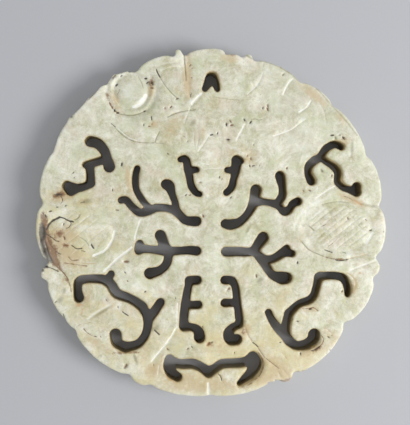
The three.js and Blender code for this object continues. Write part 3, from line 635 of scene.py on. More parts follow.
def new_geometry_tree(name, inputs):
    """An empty Geometry Nodes tree: its group input's sockets by name, and its group output."""
    tree = bpy.data.node_groups.new(name, "GeometryNodeTree")
    tree.interface.new_socket("Geometry", in_out="INPUT", socket_type="NodeSocketGeometry")
    for label, kind in inputs.items():
        tree.interface.new_socket(label, in_out="INPUT", socket_type=kind)
    tree.interface.new_socket("Geometry", in_out="OUTPUT", socket_type="NodeSocketGeometry")
    group_in = tree.nodes.new("NodeGroupInput")
    given = {socket.name: Value(tree, socket) for socket in group_in.outputs if socket.name}
    return tree, given, tree.nodes.new("NodeGroupOutput")


def run_tree(piece, tree, values):
    """Puts the tree on a piece, sets its inputs by identifier, and bakes the result to a mesh."""
    modifier = piece.modifiers.new(tree.name, "NODES")
    modifier.node_group = tree
    sockets = [item for item in tree.interface.items_tree if item.in_out == "INPUT"]
    identifiers = {item.name: item.identifier for item in sockets}
    for label, value in values.items():
        modifier[identifiers[label]] = value
    piece.update_tag()
    bpy.context.view_layer.update()
    graph = bpy.context.evaluated_depsgraph_get()
    evaluated = piece.evaluated_get(graph)
    baked = bpy.data.meshes.new_from_object(evaluated, preserve_all_data_layers=True, depsgraph=graph)
    piece.modifiers.clear()
    return baked


# %% [markdown]
# ## Hatching by rule
# The two oval medallions are filled with parallel scratches. They repeat at one pitch and stop
# at the oval, so a small Geometry Nodes tree makes them: a row of points, one straight line on
# each, and each line scaled to the width of the oval where it crosses.

# %% Hatching by rule
# middle, half length and half height of the oval, its turn, and the hatching in it
MEDALLIONS = [
    {"x": 21.3, "y": -1.0, "a": 5.7, "b": 4.1, "turn": -3, "hatch": 38, "pitch": 0.95, "lines": 11},
    {"x": 21.3, "y": -1.0, "a": 5.0, "b": 3.6, "turn": -3, "hatch": 128, "pitch": 2.6, "lines": 3},
    {"x": -21.6, "y": -2.0, "a": 5.5, "b": 4.2, "turn": 4, "hatch": 38, "pitch": 1.7, "lines": 5},
]
HATCH_MARGIN = 0.6  # the hatching stops this far inside the oval
HATCH_POINTS = 24
HATCH_WIDTH = 0.20
HATCH_DEPTH = 0.055
HATCH_STRENGTH = 0.45
HATCH_JITTER = 0.25  # in pitches


def hatching_tree():
    inputs = {
        "Lines": "NodeSocketInt", "Pitch": "NodeSocketFloat", "Lean": "NodeSocketFloat",
        "Half length": "NodeSocketFloat", "Half height": "NodeSocketFloat", "Turn": "NodeSocketFloat",
        "Middle": "NodeSocketVector", "Seed": "NodeSocketInt",
    }
    tree, given, result = new_geometry_tree("hatching", inputs)
    cos, sin = maths(tree, "COSINE", given["Lean"]), maths(tree, "SINE", given["Lean"])
    row = add_node(tree, "GeometryNodeMeshLine", None, {"Count": given["Lines"]})
    index = add_node(tree, "GeometryNodeInputIndex")
    jitter = add_node(
        tree, "FunctionNodeRandomValue", {"data_type": "FLOAT"},
        {2: -HATCH_JITTER, 3: HATCH_JITTER, "Seed": given["Seed"]}, out=1,
    )
    offset = (index - (given["Lines"] - 1) / 2 + jitter) * given["Pitch"]
    # the line (offset * across + t * along) meets the oval (x / a)^2 + (y / b)^2 = 1
    inverse_a, inverse_b = given["Half length"] ** -2, given["Half height"] ** -2
    base_x, base_y = offset * sin * -1, offset * cos
    qa = cos * cos * inverse_a + sin * sin * inverse_b
    half_qb = base_x * cos * inverse_a + base_y * sin * inverse_b
    qc = base_x * base_x * inverse_a + base_y * base_y * inverse_b - 1
    root = maths(tree, "SQRT", greater(half_qb * half_qb - qa * qc, 0.0))
    half_chord = root / qa
    slide = half_qb / qa * -1
    place = add_node(
        tree, "ShaderNodeCombineXYZ", None, {"X": base_x + slide * cos, "Y": base_y + slide * sin}
    )
    row = add_node(tree, "GeometryNodeSetPosition", None, {"Geometry": row, "Position": place})
    line = add_node(
        tree, "GeometryNodeMeshLine", {"mode": "END_POINTS"},
        {"Count": HATCH_POINTS, "Start Location": (-1, 0, 0), "Offset": (1, 0, 0)},
    )
    rotation = add_node(tree, "ShaderNodeCombineXYZ", None, {"Z": given["Lean"]})
    scale = add_node(tree, "ShaderNodeCombineXYZ", None, {"X": half_chord, "Y": 1.0, "Z": 1.0})
    copies = add_node(
        tree, "GeometryNodeInstanceOnPoints", None,
        {"Points": row, "Instance": line, "Rotation": rotation, "Scale": scale},
    )
    real = add_node(tree, "GeometryNodeRealizeInstances", None, {"Geometry": copies})
    turned = add_node(tree, "ShaderNodeCombineXYZ", None, {"Z": given["Turn"]})
    placed = add_node(
        tree, "GeometryNodeTransform", None,
        {"Geometry": real, "Translation": given["Middle"], "Rotation": turned},
    )
    finished = add_node(tree, "GeometryNodeSetMaterial", None, {"Geometry": placed})
    tree.links.new(finished.socket, result.inputs[0])
    return tree


def hatch_paths():
    tree = hatching_tree()
    paths = []
    for seed, oval in enumerate(MEDALLIONS):
        blank = new_object("hatching", bpy.data.meshes.new("hatching"))
        values = {
            "Lines": oval["lines"], "Pitch": oval["pitch"], "Seed": seed,
            "Lean": math.radians(oval["hatch"] - oval["turn"]),
            "Half length": oval["a"] - HATCH_MARGIN, "Half height": oval["b"] - HATCH_MARGIN,
            "Turn": math.radians(oval["turn"]), "Middle": (oval["x"], oval["y"], 0),
        }
        wires = run_tree(blank, tree, values)
        points = np.array([vert.co.xy for vert in wires.vertices]).reshape(-1, HATCH_POINTS, 2)
        paths += [line for line in points if np.ptp(line, axis=0).max() > oval["pitch"]]
        bpy.data.objects.remove(blank)
        bpy.data.meshes.remove(wires)
    return paths


hatching = hatch_paths()
print(f"hatching: {len(hatching)} lines")

# %% [markdown]
# ## Pits
# Nephrite is full of tiny soft spots that wear out and fill with dirt. The ones that can be
# told apart are placed one by one. Each is a short gouge that leans its own way, dark or rusty
# inside, and noise makes its lip uneven.

# %% Pits
# kind, x, y, radius in millimetres
PITS = [
    ("grime", 5.6, 17.0, 0.27), ("grime", 2.6, 16.15, 0.24), ("grime", 2.9, 13.7, 0.26),
    ("grime", 6.65, 16.6, 0.24), ("rust", 3.2, 16.8, 0.22), ("rust", 3.5, 16.1, 0.28),
    ("grime", 1.45, 7.45, 0.2), ("grime", 1.85, 7.1, 0.14), ("rust", -1.8, 6.5, 0.28),
    ("rust", -3.5, 4.4, 0.22), ("grime", -4.2, 4.4, 0.16), ("grime", 3.3, 4.0, 0.24),
    ("grime", -11.2, 16.1, 0.26), ("grime", -5.6, 20.5, 0.26), ("grime", -11.05, 18.45, 0.22),
    ("rust", -3.45, 26.1, 0.22), ("rust", -3.2, 25.6, 0.18), ("rust", -3.2, 24.0, 0.16),
    ("rust", -16.2, 24.2, 0.42), ("grime", -15.0, 24.3, 0.24), ("grime", -15.75, 22.8, 0.26),
    ("grime", -14.9, 9.5, 0.32), ("grime", -22.9, 8.1, 0.22), ("rust", -22.8, 7.3, 0.18),
    ("grime", -16.4, 5.2, 0.18), ("rust", -15.6, 1.9, 0.3), ("grime", -24.2, 2.6, 0.24),
    ("grime", -25.6, 2.4, 0.22), ("grime", -26.7, 1.7, 0.26), ("grime", -27.5, 1.0, 0.26),
    ("grime", -27.9, 1.3, 0.2), ("grime", -24.5, -0.45, 0.24), ("rust", -24.4, -2.7, 0.22),
    ("grime", 20.4, 14.45, 0.24), ("grime", 22.2, 14.0, 0.34), ("rust", 21.6, 14.5, 0.2),
    ("olive", 20.9, 14.0, 0.28), ("grime", 14.5, -6.9, 0.22), ("grime", 26.0, 0.3, 0.22),
    ("grime", 26.8, -1.5, 0.22), ("rust", 23.0, 0.45, 0.24), ("grime", 29.0, -1.7, 0.18),
    ("grime", 19.7, -19.35, 0.2), ("grime", 20.25, -19.1, 0.14), ("grime", 11.6, -20.2, 0.18),
    ("rust", 14.5, -16.7, 0.24), ("grime", 16.6, -14.65, 0.26), ("rust", 22.0, -11.7, 0.2),
    ("grime", 15.0, -22.1, 0.24), ("rust", -14.2, -6.7, 0.42), ("rust", 9.5, 18.8, 0.4),
    ("rust", 9.5, 19.3, 0.34), ("grime", 8.7, 19.0, 0.22), ("rust", 12.1, 24.6, 0.22),
    ("rust", 7.1, 12.8, 0.24), ("rust", 6.7, 10.5, 0.28), ("rust", 6.1, 11.0, 0.2),
    ("grime", 7.1, 9.3, 0.28), ("grime", 6.5, 9.3, 0.22), ("rust", 8.1, 9.35, 0.16),
    ("grime", 0.1, 14.5, 0.26), ("grime", 1.1, 14.75, 0.24), ("rust", 12.7, 8.9, 0.24),
    ("grime", -10.6, 23.2, 0.3), ("grime", -9.85, 23.1, 0.34), ("rust", -9.9, 22.3, 0.26),
    ("grime", -10.9, 23.9, 0.22), ("rust", -6.7, 19.1, 0.24), ("rust", -7.7, 18.9, 0.18),
    ("rust", -10.3, 15.9, 0.26), ("rust", -9.9, 16.2, 0.2), ("rust", 20.3, 7.7, 0.26),
    ("rust", 15.5, 5.1, 0.2), ("rust", 16.5, 5.2, 0.24), ("olive", 18.6, 8.5, 0.3),
    ("rust", -1.3, 0.9, 0.28), ("rust", 2.9, -11.3, 0.34), ("rust", 7.6, -9.1, 0.26),
    ("grime", 9.8, -26.95, 0.28), ("grime", 0.2, -20.1, 0.2), ("rust", -0.4, -20.4, 0.36),
    ("grime", -3.2, -20.9, 0.2), ("rust", -3.8, -21.2, 0.26), ("rust", -7.2, -21.3, 0.2),
    ("rust", -9.6, -23.9, 0.2), ("rust", -14.2, -24.1, 0.4), ("rust", -15.5, -14.3, 0.22),
    ("grime", -25.8, -13.35, 0.28), ("rust", -19.3, -19.1, 0.18), ("rust", -18.4, -19.1, 0.16),
    ("grime", -11.0, -11.7, 0.22), ("grime", -5.9, -12.8, 0.18), ("grime", 10.9, -26.75, 0.32),
    ("rust", -17.4, -13.1, 0.2), ("grime", -14.3, -8.5, 0.2), ("rust", -13.9, -9.9, 0.18),
    ("grime", -23.4, 17.6, 0.36), ("grime", -23.9, 17.2, 0.22), ("grime", -22.9, 18.3, 0.2),
    ("grime", -24.5, 16.1, 0.24), ("grime", -21.9, 19.2, 0.24), ("grime", -18.0, 23.1, 0.24),
    ("rust", -16.8, 21.7, 0.18), ("grime", -16.1, 18.5, 0.26), ("grime", -15.6, 18.1, 0.22),
    ("grime", -13.5, 25.1, 0.28), ("rust", -1.4, -17.6, 0.22), ("grime", -7.2, 11.3, 0.18),
    ("olive", -3.9, 13.4, 0.22), ("olive", -4.5, 14.2, 0.2), ("grime", 3.9, -21.9, 0.16),
]
PIT_DEPTH_PER_RADIUS = 0.8
PIT_STRENGTH = 0.82
PIT_WIDTH = 1.45  # in radii
PIT_HALF_LENGTH = 0.6  # in radii
PIT_SEED = 1.7
PIT_RINGS = ((0.55, 6), (1.05, 10))  # radius in radii of the pit, points


def pit_rings(x, y, radius):
    """Mesh points for one bowl: its middle, its side and its lip."""
    points = [(x, y)]
    for share, count in PIT_RINGS:
        for i in range(count):
            angle = 2 * math.pi * i / count
            points.append((x + share * radius * math.cos(angle), y + share * radius * math.sin(angle)))
    return np.array(points)


print(f"pits: {len(PITS)}")

# %% [markdown]
# ## The form of the front
# The front is not flat. A round boss rises in a sunk ring at the upper left, the two
# medallions swell a little inside a sunk line, and hand grinding left soft hollows
# everywhere. All of this is one function from a place on the front to how far it lies below
# the frame's top, so it can never rise above it.

# %% The form of the front
BOSS = (-13.3, 21.8)
# radius from the middle of the boss, and depth there
BOSS_PROFILE = [
    (0.0, 0.1), (1.2, 0.14), (2.0, 0.24), (2.5, 0.42), (2.8, 0.58), (3.1, 0.46), (3.5, 0.24),
    (3.9, 0.36), (4.15, 0.38), (4.6, 0.16), (5.0, 0.05), (5.6, 0.0),
]
MEDALLION_LINE_DEPTH = 0.14
MEDALLION_LINE_HALF_WIDTH = 0.5
MEDALLION_HOLLOW = 0.05
HOLLOW_DEPTH = 0.14
HOLLOW_SIZE, SMALL_HOLLOW_SIZE = 5.5, 2.4
RIPPLE_DEPTH = 0.06
RIPPLE_SIZE = 0.8
GRAIN_STRETCH = (1.35, 0.75)  # the ripples run a little along Y
RIM_ROUND = 0.42  # how far the worn front edge of the rim curves over
SLOT_ROUND = 0.3
ROUND_SHARE = 0.85  # of a full quarter circle
# places where a slot's edge is broken to a wide bevel: x, y, reach, extra width
BROKEN_EDGES = [
    (8.0, -23.9, 2.0, 0.75), (6.3, -26.3, 1.6, 0.45), (17.9, -20.6, 1.3, 0.5), (15.6, -21.3, 1.2, 0.35),
    (12.3, -15.2, 1.2, 0.25), (21.0, 9.6, 1.6, 0.3), (22.4, 6.4, 1.5, 0.3), (17.6, 7.6, 1.2, 0.3),
    (1.4, 24.6, 0.9, 0.25), (23.5, -11.2, 1.2, 0.3), (5.4, -18.2, 0.8, 0.25), (-13.0, 7.6, 1.5, 0.25),
    (9.5, -4.2, 1.3, 0.25), (13.2, -9.0, 1.2, 0.2), (5.1, 10.9, 0.8, 0.25),
]


def profile_depth(profile, radius):
    at, depth = np.array(profile).T
    return np.interp(radius, at, depth)


def oval_radius(points, oval):
    """1 on the oval's line, less inside it, for each point."""
    turn = math.radians(oval["turn"])
    x, y = points[:, 0] - oval["x"], points[:, 1] - oval["y"]
    u = x * math.cos(turn) + y * math.sin(turn)
    v = y * math.cos(turn) - x * math.sin(turn)
    return np.hypot(u / oval["a"], v / oval["b"])


def form_depth(points):
    depth = profile_depth(BOSS_PROFILE, np.hypot(points[:, 0] - BOSS[0], points[:, 1] - BOSS[1]))
    for oval in (MEDALLIONS[0], MEDALLIONS[2]):
        radius = oval_radius(points, oval)
        off_line = (radius - 1) * (oval["a"] + oval["b"]) / 2
        line = np.exp(-((off_line / MEDALLION_LINE_HALF_WIDTH) ** 2))
        depth = np.maximum(depth, MEDALLION_LINE_DEPTH * line)
        inner = np.clip(radius, 0, 1)
        depth += MEDALLION_HOLLOW * inner**2 * (radius < 1) * (1 - inner**6)
    large = smooth_noise(points, HOLLOW_SIZE, 3)
    small = smooth_noise(points, SMALL_HOLLOW_SIZE, 4)
    hollows = 0.5 + 0.5 * large + 0.35 * small
    ripples = 0.5 + 0.5 * smooth_noise(points * GRAIN_STRETCH, RIPPLE_SIZE, 5)
    return depth + HOLLOW_DEPTH * np.clip(hollows, 0, 1.6) + RIPPLE_DEPTH * ripples


slot_round = SLOT_ROUND * (1 + 0.35 * smooth_noise(outline, 2.0, 6))
for x, y, reach, extra in BROKEN_EDGES:
    gap = np.hypot(outline[:, 0] - x, outline[:, 1] - y)
    slot_round += extra * np.exp(-((gap / reach) ** 2)) * (1 + 0.4 * smooth_noise(outline, 0.6, 7))
rim_round = RIM_ROUND * (0.9 + 0.25 * smooth_noise(outline, 3.0, 8))
edge_round = np.where(on_rim, rim_round, slot_round)


def round_drop(distance, reach):
    """How far a rounded edge has dropped at a distance from the outline."""
    bend = np.clip(1 - distance / reach, 0, 1)
    return reach * (1 - np.sqrt(1 - bend * bend))


def front_height(points, distance, nearest):
    dropped = ROUND_SHARE * round_drop(distance, edge_round[nearest])
    return FRONT - form_depth(points) - dropped


# %% [markdown]
# ## One fine mesh
# A displaced grid would leave ragged edges at the slots. Here the front is a Delaunay
# triangulation instead: outline points first, rings of points just inside them to carry the
# worn edges, rows along every cut, rings round every pit, and an even triangular grid for the
# rest. The back is the same outline with far fewer points, and strips of quads join the two
# as the walls.

# %% One fine mesh
GRID = 0.285
BACK_GRID = 1.1
RIM_RINGS = (0.035, 0.14, 0.32, 0.60, 1.0)  # shares of the rounding
SLOT_RINGS = (0.15, 0.5, 1.0)
BACK_ROUND = 0.30
WALL_LEVELS = (0.10, 0.24, 0.42, 0.62, 0.82)  # shares of the way down a wall
SAW_INSET = 0.02  # the sawn wall lies this far back from the edge,
SAW_DEPTH = 0.03  # and its marks go this much deeper,
SAW_SIZE = 0.5  # and are about this long
SAW_SHIFT = 31  # each level down the wall takes its marks from this far along the noise
BOSS_GRID = 0.2
BOSS_REACH = 5.0
# points closer to each other than these are left out, or closer to an outline
RING_GAP = 0.02
FEATURE_GAP = 0.08
GRID_GAP = 0.62  # in grid steps
BACK_RING_GAP = 0.05
OUTLINE_GAP = 0.06
GRID_OUTLINE_GAP = 0.4  # in grid steps
SAME_POINT = 1e-6
RING_TRUTH = 0.9  # a ring point this much too near another outline, as a share, is left out


def edge_rings():
    rings = []
    for shares, chosen in ((RIM_RINGS, on_rim), (SLOT_RINGS, ~on_rim)):
        for share in shares:
            reach = share * edge_round[chosen]
            points = outline[chosen] + outline_normal[chosen] * reach[:, None]
            distance, _ = edge_distance(points)
            rings.append(points[(distance > RING_TRUTH * reach) & in_stone(points)])
    return np.vstack(rings)


def triangular_grid(pitch):
    low, high = outline.min(0), outline.max(0)
    rows = np.arange(low[1], high[1], pitch * math.sqrt(0.75))
    columns = np.arange(low[0], high[0], pitch)
    x, y = np.meshgrid(columns, rows)
    x = x + (np.arange(len(rows)) % 2)[:, None] * pitch / 2
    return np.column_stack([x.ravel(), y.ravel()])


def thin_out(points, taken, gap):
    """The points of a list that keep a gap to each other and to those already taken."""
    grid = {}
    for x, y in taken:
        grid.setdefault((int(x // gap), int(y // gap)), []).append((x, y))
    kept = []
    for x, y in points:
        i, j = int(x // gap), int(y // gap)
        cells = ((i + di, j + dj) for di in (-1, 0, 1) for dj in (-1, 0, 1))
        around = (point for cell in cells for point in grid.get(cell, ()))
        if all((x - px) ** 2 + (y - py) ** 2 > gap * gap for px, py in around):
            kept.append((x, y))
            grid.setdefault((i, j), []).append((x, y))
    return np.array(kept)


def front_points():
    features = [cut_rows(path, width / 2) for path, (_, _, width, *_) in zip(cut_paths, CUTS)]
    features += [cut_rows(path, HATCH_WIDTH / 2) for path in hatching]
    features += [pit_rings(x, y, radius) for _, x, y, radius in PITS]
    boss_area = triangular_grid(BOSS_GRID)
    boss_area = boss_area[np.hypot(*(boss_area - BOSS).T) < BOSS_REACH]
    rings = thin_out(edge_rings(), outline, RING_GAP)
    features = np.vstack(features + [boss_area])
    distance, _ = edge_distance(features)
    features = features[(distance > OUTLINE_GAP) & in_stone(features)]
    taken = np.vstack([outline, rings])
    features = thin_out(features, taken, FEATURE_GAP)
    grid = triangular_grid(GRID)
    distance, nearest = edge_distance(grid)
    clear = edge_round[nearest] + GRID_OUTLINE_GAP * GRID
    grid = grid[(distance > clear) & in_stone(grid)]
    grid = thin_out(grid, np.vstack([taken, features]), GRID_GAP * GRID)
    return np.vstack([taken, features, grid])


def back_points():
    shrunk = outline + outline_normal * BACK_ROUND
    distance, _ = edge_distance(shrunk)
    ring = shrunk[(distance > RING_TRUTH * BACK_ROUND) & in_stone(shrunk)]
    grid = triangular_grid(BACK_GRID)
    distance, _ = edge_distance(grid)
    grid = grid[(distance > BACK_ROUND + GRID_OUTLINE_GAP * BACK_GRID) & in_stone(grid)]
    return np.vstack([outline, thin_out(ring, outline, BACK_RING_GAP), grid])


def triangulate(points):
    """Triangles between the outlines; the first points are the outlines."""
    edges = [(i, int(j)) for i, j in enumerate(outline_next)]
    vectors = [Vector(p) for p in points]
    _, _, faces, origin, _, _ = delaunay_2d_cdt(vectors, edges, [], 0, SAME_POINT, True)
    source = np.array([first[0] if first else -1 for first in origin])
    triangles = source[np.array(faces)]
    all_outline = np.all(triangles < len(outline), axis=1)
    keep = np.ones(len(triangles), bool)
    middles = points[triangles[all_outline]].mean(1)
    keep[all_outline] = in_stone(middles)
    return triangles[keep]


def wall_faces(upper, lower):
    """Quads between two rows of wall points, given by the index of each row's first point."""
    i = np.arange(len(outline))
    j = outline_next
    return np.column_stack([upper + j, upper + i, lower + i, lower + j])


def build_plaque():
    front, back = front_points(), back_points()
    count = len(outline)
    front_faces, back_faces = triangulate(front), triangulate(back)
    distance, nearest = edge_distance(front)
    front_z = front_height(front, distance, nearest)
    back_distance, _ = edge_distance(back)
    back_z = ROUND_SHARE * round_drop(back_distance, np.full(len(back), BACK_ROUND))
    rows, heights = [], []
    for level, share in enumerate(WALL_LEVELS):
        z = front_z[:count] * (1 - share) + back_z[:count] * share
        saw = smooth_noise(outline + SAW_SHIFT * level, SAW_SIZE, 9) * SAW_DEPTH
        rows.append(outline + outline_normal * (SAW_INSET + np.abs(saw))[:, None])
        heights.append(z)
    points = np.vstack([front, *rows, back])
    z = np.concatenate([front_z, *heights, back_z])
    starts = [0] + [len(front) + count * level for level in range(len(WALL_LEVELS))]
    starts.append(len(front) + count * len(WALL_LEVELS))
    walls = np.vstack([wall_faces(upper, lower) for upper, lower in zip(starts, starts[1:])])
    co = np.column_stack([points, z]) * MM
    co = np.clip(co, np.array(cad_low), np.array(cad_high))
    mesh = bpy.data.meshes.new("plaque")
    faces = front_faces.tolist() + walls.tolist() + (back_faces[:, ::-1] + starts[-1]).tolist()
    mesh.from_pydata(co.tolist(), [], faces)
    mesh.shade_smooth()
    return mesh, len(front), points


plaque_mesh, front_count, flat_points = build_plaque()
print(f"mesh: {len(plaque_mesh.vertices)} points, {front_count} of them on the front")

# %% [markdown]
# ## Stains
# Colour that belongs to a place is kept on the mesh as named attributes, one number from 0 to
# 1 at each point: tan and ember where iron has soaked in, olive where the stone itself is
# darker, rust and grime where dirt has settled, chalk where it is freshly ground. Olive also
# carries a painted shade along the rim's edge at the upper right, and chalk the painted
# highlights on the boss and the right medallion. The material breaks their soft edges up
# with noise.

# %% Stains
# x, y, reach along, reach across, turn in degrees, strength
STAINS = {
    "tan": [  # iron in the stone
        (-3.9, 24.2, 4.2, 0.9, 88, 0.9), (-6.5, 15.6, 3.4, 2.2, 60, 0.55),
        (-9.6, 16.2, 1.0, 0.7, 20, 0.9), (-15.9, 20.0, 2.2, 0.9, 110, 0.7),
        (-10.0, 21.9, 1.9, 0.6, 80, 0.9), (-13.7, 6.8, 3.0, 0.7, 100, 0.8),
        (-24.6, 4.4, 2.4, 1.3, 10, 1.0), (-20.4, 3.4, 3.0, 1.4, 10, 0.5),
        (-24.0, -5.2, 4.0, 2.2, -40, 0.9), (-20.8, -12.8, 2.6, 1.2, 80, 0.6),
        (-3.0, -26.6, 6.5, 1.8, 0, 0.75), (-9.4, -24.6, 2.4, 1.6, 60, 0.8),
        (8.0, -24.4, 3.0, 1.1, 80, 1.1), (11.5, -24.8, 3.6, 1.7, -40, 0.9),
        (5.6, -18.2, 1.6, 1.0, 60, 1.0), (1.8, -20.8, 2.6, 1.6, 20, 0.5),
        (16.8, -21.6, 3.0, 1.0, 25, 0.8), (19.6, -18.8, 1.8, 1.1, -30, 0.6),
        (24.2, -10.6, 1.8, 0.6, 80, 0.9), (16.8, -14.6, 1.8, 0.8, 0, 0.7),
        (23.8, 3.6, 3.0, 0.7, -25, 0.9), (17.2, 21.3, 3.4, 0.9, -38, 0.8),
        (22.4, 13.6, 1.6, 0.9, 0, 0.7), (21.9, 17.3, 1.6, 0.8, -50, 0.7),
        (6.5, 10.8, 1.8, 1.2, 90, 0.6), (3.2, 27.4, 1.6, 1.2, 0, 0.9), (-1.2, 15.5, 2.4, 0.8, 80, 0.4),
        (1.0, 19.6, 2.6, 1.6, 30, 0.45), (6.6, -26.6, 2.4, 0.9, 35, 0.8),
        (-19.4, -20.0, 2.6, 1.0, -30, 0.6), (-15.2, 5.4, 2.0, 1.4, 90, 0.35),
        (12.2, -12.6, 3.2, 1.6, -60, 0.35), (-5.4, 21.8, 1.6, 0.7, -30, 0.45),
        (3.6, 11.6, 1.4, 0.7, 0, 0.6), (-25.0, -3.2, 3.4, 2.8, 0, 0.9), (-1.5, -27.5, 9.0, 1.4, 2, 0.8),
        (9.5, -26.2, 3.4, 1.0, 20, 0.9), (-11.0, -22.0, 2.4, 1.4, 60, 0.5),
        (20.0, -20.5, 2.6, 0.9, 40, 0.5),
    ],
    "rust": [  # where it has turned brown
        (3.6, 28.2, 1.0, 0.5, -15, 1.1), (-9.9, 23.2, 0.9, 0.5, 70, 0.9),
        (-25.0, 4.5, 1.5, 0.6, 15, 0.9), (-27.6, -1.6, 3.2, 0.75, 92, 1.1),
        (-26.2, -6.2, 2.4, 0.8, -55, 1.1), (-24.1, -4.0, 0.7, 0.35, -15, 1.0),
        (-23.9, -9.9, 1.3, 0.4, -70, 0.7), (5.5, -18.4, 0.8, 0.5, 60, 0.7),
        (12.4, -26.7, 1.8, 0.4, 25, 0.9), (17.6, -21.4, 1.6, 0.35, 35, 0.8),
        (22.3, 13.9, 0.6, 0.35, 0, 0.8), (-17.2, 20.8, 1.4, 0.4, 110, 0.6),
        (21.8, -6.35, 1.9, 0.3, -5, 0.8), (0.2, -20.5, 0.5, 0.5, 0, 0.7),
        (-13.9, -21.8, 3.0, 0.3, 3, 0.8), (-27.2, -3.4, 2.6, 0.9, 100, 1.0),
        (-25.4, -2.2, 1.6, 0.8, 30, 0.7), (-26.2, -4.8, 1.8, 0.9, -50, 0.9),
        (-27.9, 0.6, 1.2, 0.5, 90, 0.9),
    ],
    "grime": [  # packed dark dirt
        (-28.1, -2.6, 2.4, 0.4, 92, 1.2), (-27.2, -5.6, 1.6, 0.4, -60, 1.2),
        (-27.9, -7.4, 0.9, 0.3, -12, 1.3), (-24.0, 17.3, 2.6, 0.35, 48, 0.7),
        (-18.4, 22.9, 2.2, 0.3, 40, 0.6), (3.4, 28.4, 0.7, 0.25, -15, 0.8),
        (11.4, -26.8, 0.7, 0.3, 20, 1.0), (-25.3, 4.5, 0.7, 0.3, 20, 0.7),
        (-28.0, -1.9, 1.4, 0.55, 92, 1.4), (-27.6, -5.0, 1.8, 0.45, -68, 1.3),
        (-28.3, -8.0, 0.7, 0.3, -20, 1.2), (-22.8, 18.7, 1.6, 0.25, 45, 0.9),
        (-25.2, 15.0, 1.2, 0.22, 60, 0.9), (-19.6, 21.2, 1.5, 0.22, 48, 0.9),
        (-16.8, 24.2, 1.2, 0.22, 40, 0.8),
    ],
    "chalk": [  # bruised or freshly ground
        (-10.8, -0.5, 4.0, 3.0, 0, 0.33), (0.0, -1.5, 3.0, 4.0, 0, 0.3),
        (-13.4, 22.2, 2.1, 2.1, 0, 0.42), (-8.8, 22.8, 1.4, 0.8, 55, 0.4),
        (14.0, 12.5, 3.0, 1.8, 20, 0.3), (24.6, -14.6, 3.5, 1.0, 55, 0.2),
        (-14.0, -2.4, 2.4, 1.0, 75, 0.4), (21.5, -13.0, 2.2, 1.4, 40, 0.35),
        (-3.0, 20.2, 1.9, 0.6, 40, 0.7), (-9.8, -22.6, 1.6, 0.5, 55, 0.4),
        (21.6, 20.0, 6.0, 0.5, -50, 0.3), (19.8, 4.8, 3.0, 1.0, 35, 0.35),
        (20.1, -21.7, 1.0, 0.4, 40, 0.8), (-18.8, -7.9, 1.4, 0.6, 50, 0.5),
        (-12.4, 0.4, 2.2, 0.5, 80, 0.4), (24.6, -2.4, 3.6, 1.2, -30, 0.3),
        # the next row starts with a painted highlight: the bright crescent of light on the boss's lower
        # right
        (-11.6, 20.2, 1.0, 0.35, 45, 1.0), (9.8, 24.2, 4.0, 2.0, -20, 0.25),
        (-15.4, 14.2, 2.6, 1.0, -30, 0.3), (25.8, -10.5, 7.0, 0.8, 64, 0.35),
        (-26.8, 10.6, 4.0, 0.8, 72, 0.5), (-20.6, 19.8, 5.0, 0.7, 42, 0.5),
        (-6.4, 23.3, 2.4, 1.2, 40, 0.5), (-17.2, 14.5, 0.8, 0.5, 0, 0.5),
        (-0.4, -28.2, 1.0, 0.4, 90, 0.8), (12.8, -14.9, 0.9, 0.3, 60, 0.6),
    ],
    "olive": [  # where the stone itself is darker green
        (-20.6, 3.4, 1.0, 0.5, 15, 0.8), (-9.2, -17.8, 0.9, 0.5, 30, 0.8),
        (-3.0, 16.5, 0.9, 0.6, 60, 0.7), (-25.0, -13.0, 0.9, 0.6, 60, 0.7),
        (-24.4, -11.5, 0.8, 0.5, 70, 0.7), (-12.6, -22.8, 1.2, 0.3, -70, 0.9),
        (-18.0, -15.0, 2.2, 0.35, 32, 0.8), (8.2, -9.8, 0.9, 0.5, 30, 0.8),
        (6.3, -1.2, 1.2, 0.3, 60, 0.8), (5.6, -16.8, 0.5, 0.5, 0, 0.8),
        (11.6, -16.2, 0.9, 0.4, 60, 0.6), (23.7, 12.2, 2.0, 0.35, 88, 0.7),
        (28.0, 1.4, 1.5, 0.6, 75, 0.6), (-6.6, 26.2, 1.6, 0.35, 10, 0.6),
        (20.8, 0.2, 2.0, 0.5, 38, 0.5), (21.5, -2.6, 2.2, 0.4, 38, 0.5), (0.8, 14.3, 0.6, 0.4, 0, 0.6),
        (2.9, 13.6, 0.4, 0.6, 0, 0.6),
    ],
    "ember": [  # small orange rusty spots
        (-24.0, -4.0, 0.35, 0.22, -15, 1.2), (-27.6, -0.5, 0.35, 0.25, 0, 1.1),
        (-0.4, -20.5, 0.6, 0.5, 0, 0.8), (-21.9, -13.9, 0.9, 0.4, 0, 0.8),
        (-21.5, -15.0, 1.2, 0.25, 90, 0.6), (-24.5, -9.8, 1.2, 0.3, 80, 0.6),
        (-8.2, -22.8, 1.0, 0.3, 75, 0.7), (25.0, -8.6, 0.3, 0.2, 0, 1.0),
        (-6.8, -26.2, 1.6, 0.35, -35, 0.7),
    ],
}
COLOUR_KINDS = tuple(STAINS)
# x, y, reach, warmth: warm is positive, cool is negative
WIDE_TONES = [
    (-24, 0, 9, 0.7), (-16, -18, 9, 0.55), (0, -24, 10, 0.6), (13, -21, 8, 0.7), (18, 16, 9, -0.7),
    (12, 24, 6, -0.6), (-14, 12, 8, -0.45), (-8, 22, 6, -0.35), (-13, 21.8, 2.6, -0.9),
    (22, -6, 6, -0.35), (-1, -6, 4, -0.3), (3, 10, 7, 0.2), (2, -21, 5, 0.4), (11, -25, 5, 0.4),
    (25, -8, 6, 0.3), (-25, 11, 6, -0.5), (-16, -3, 5, -0.2),
]
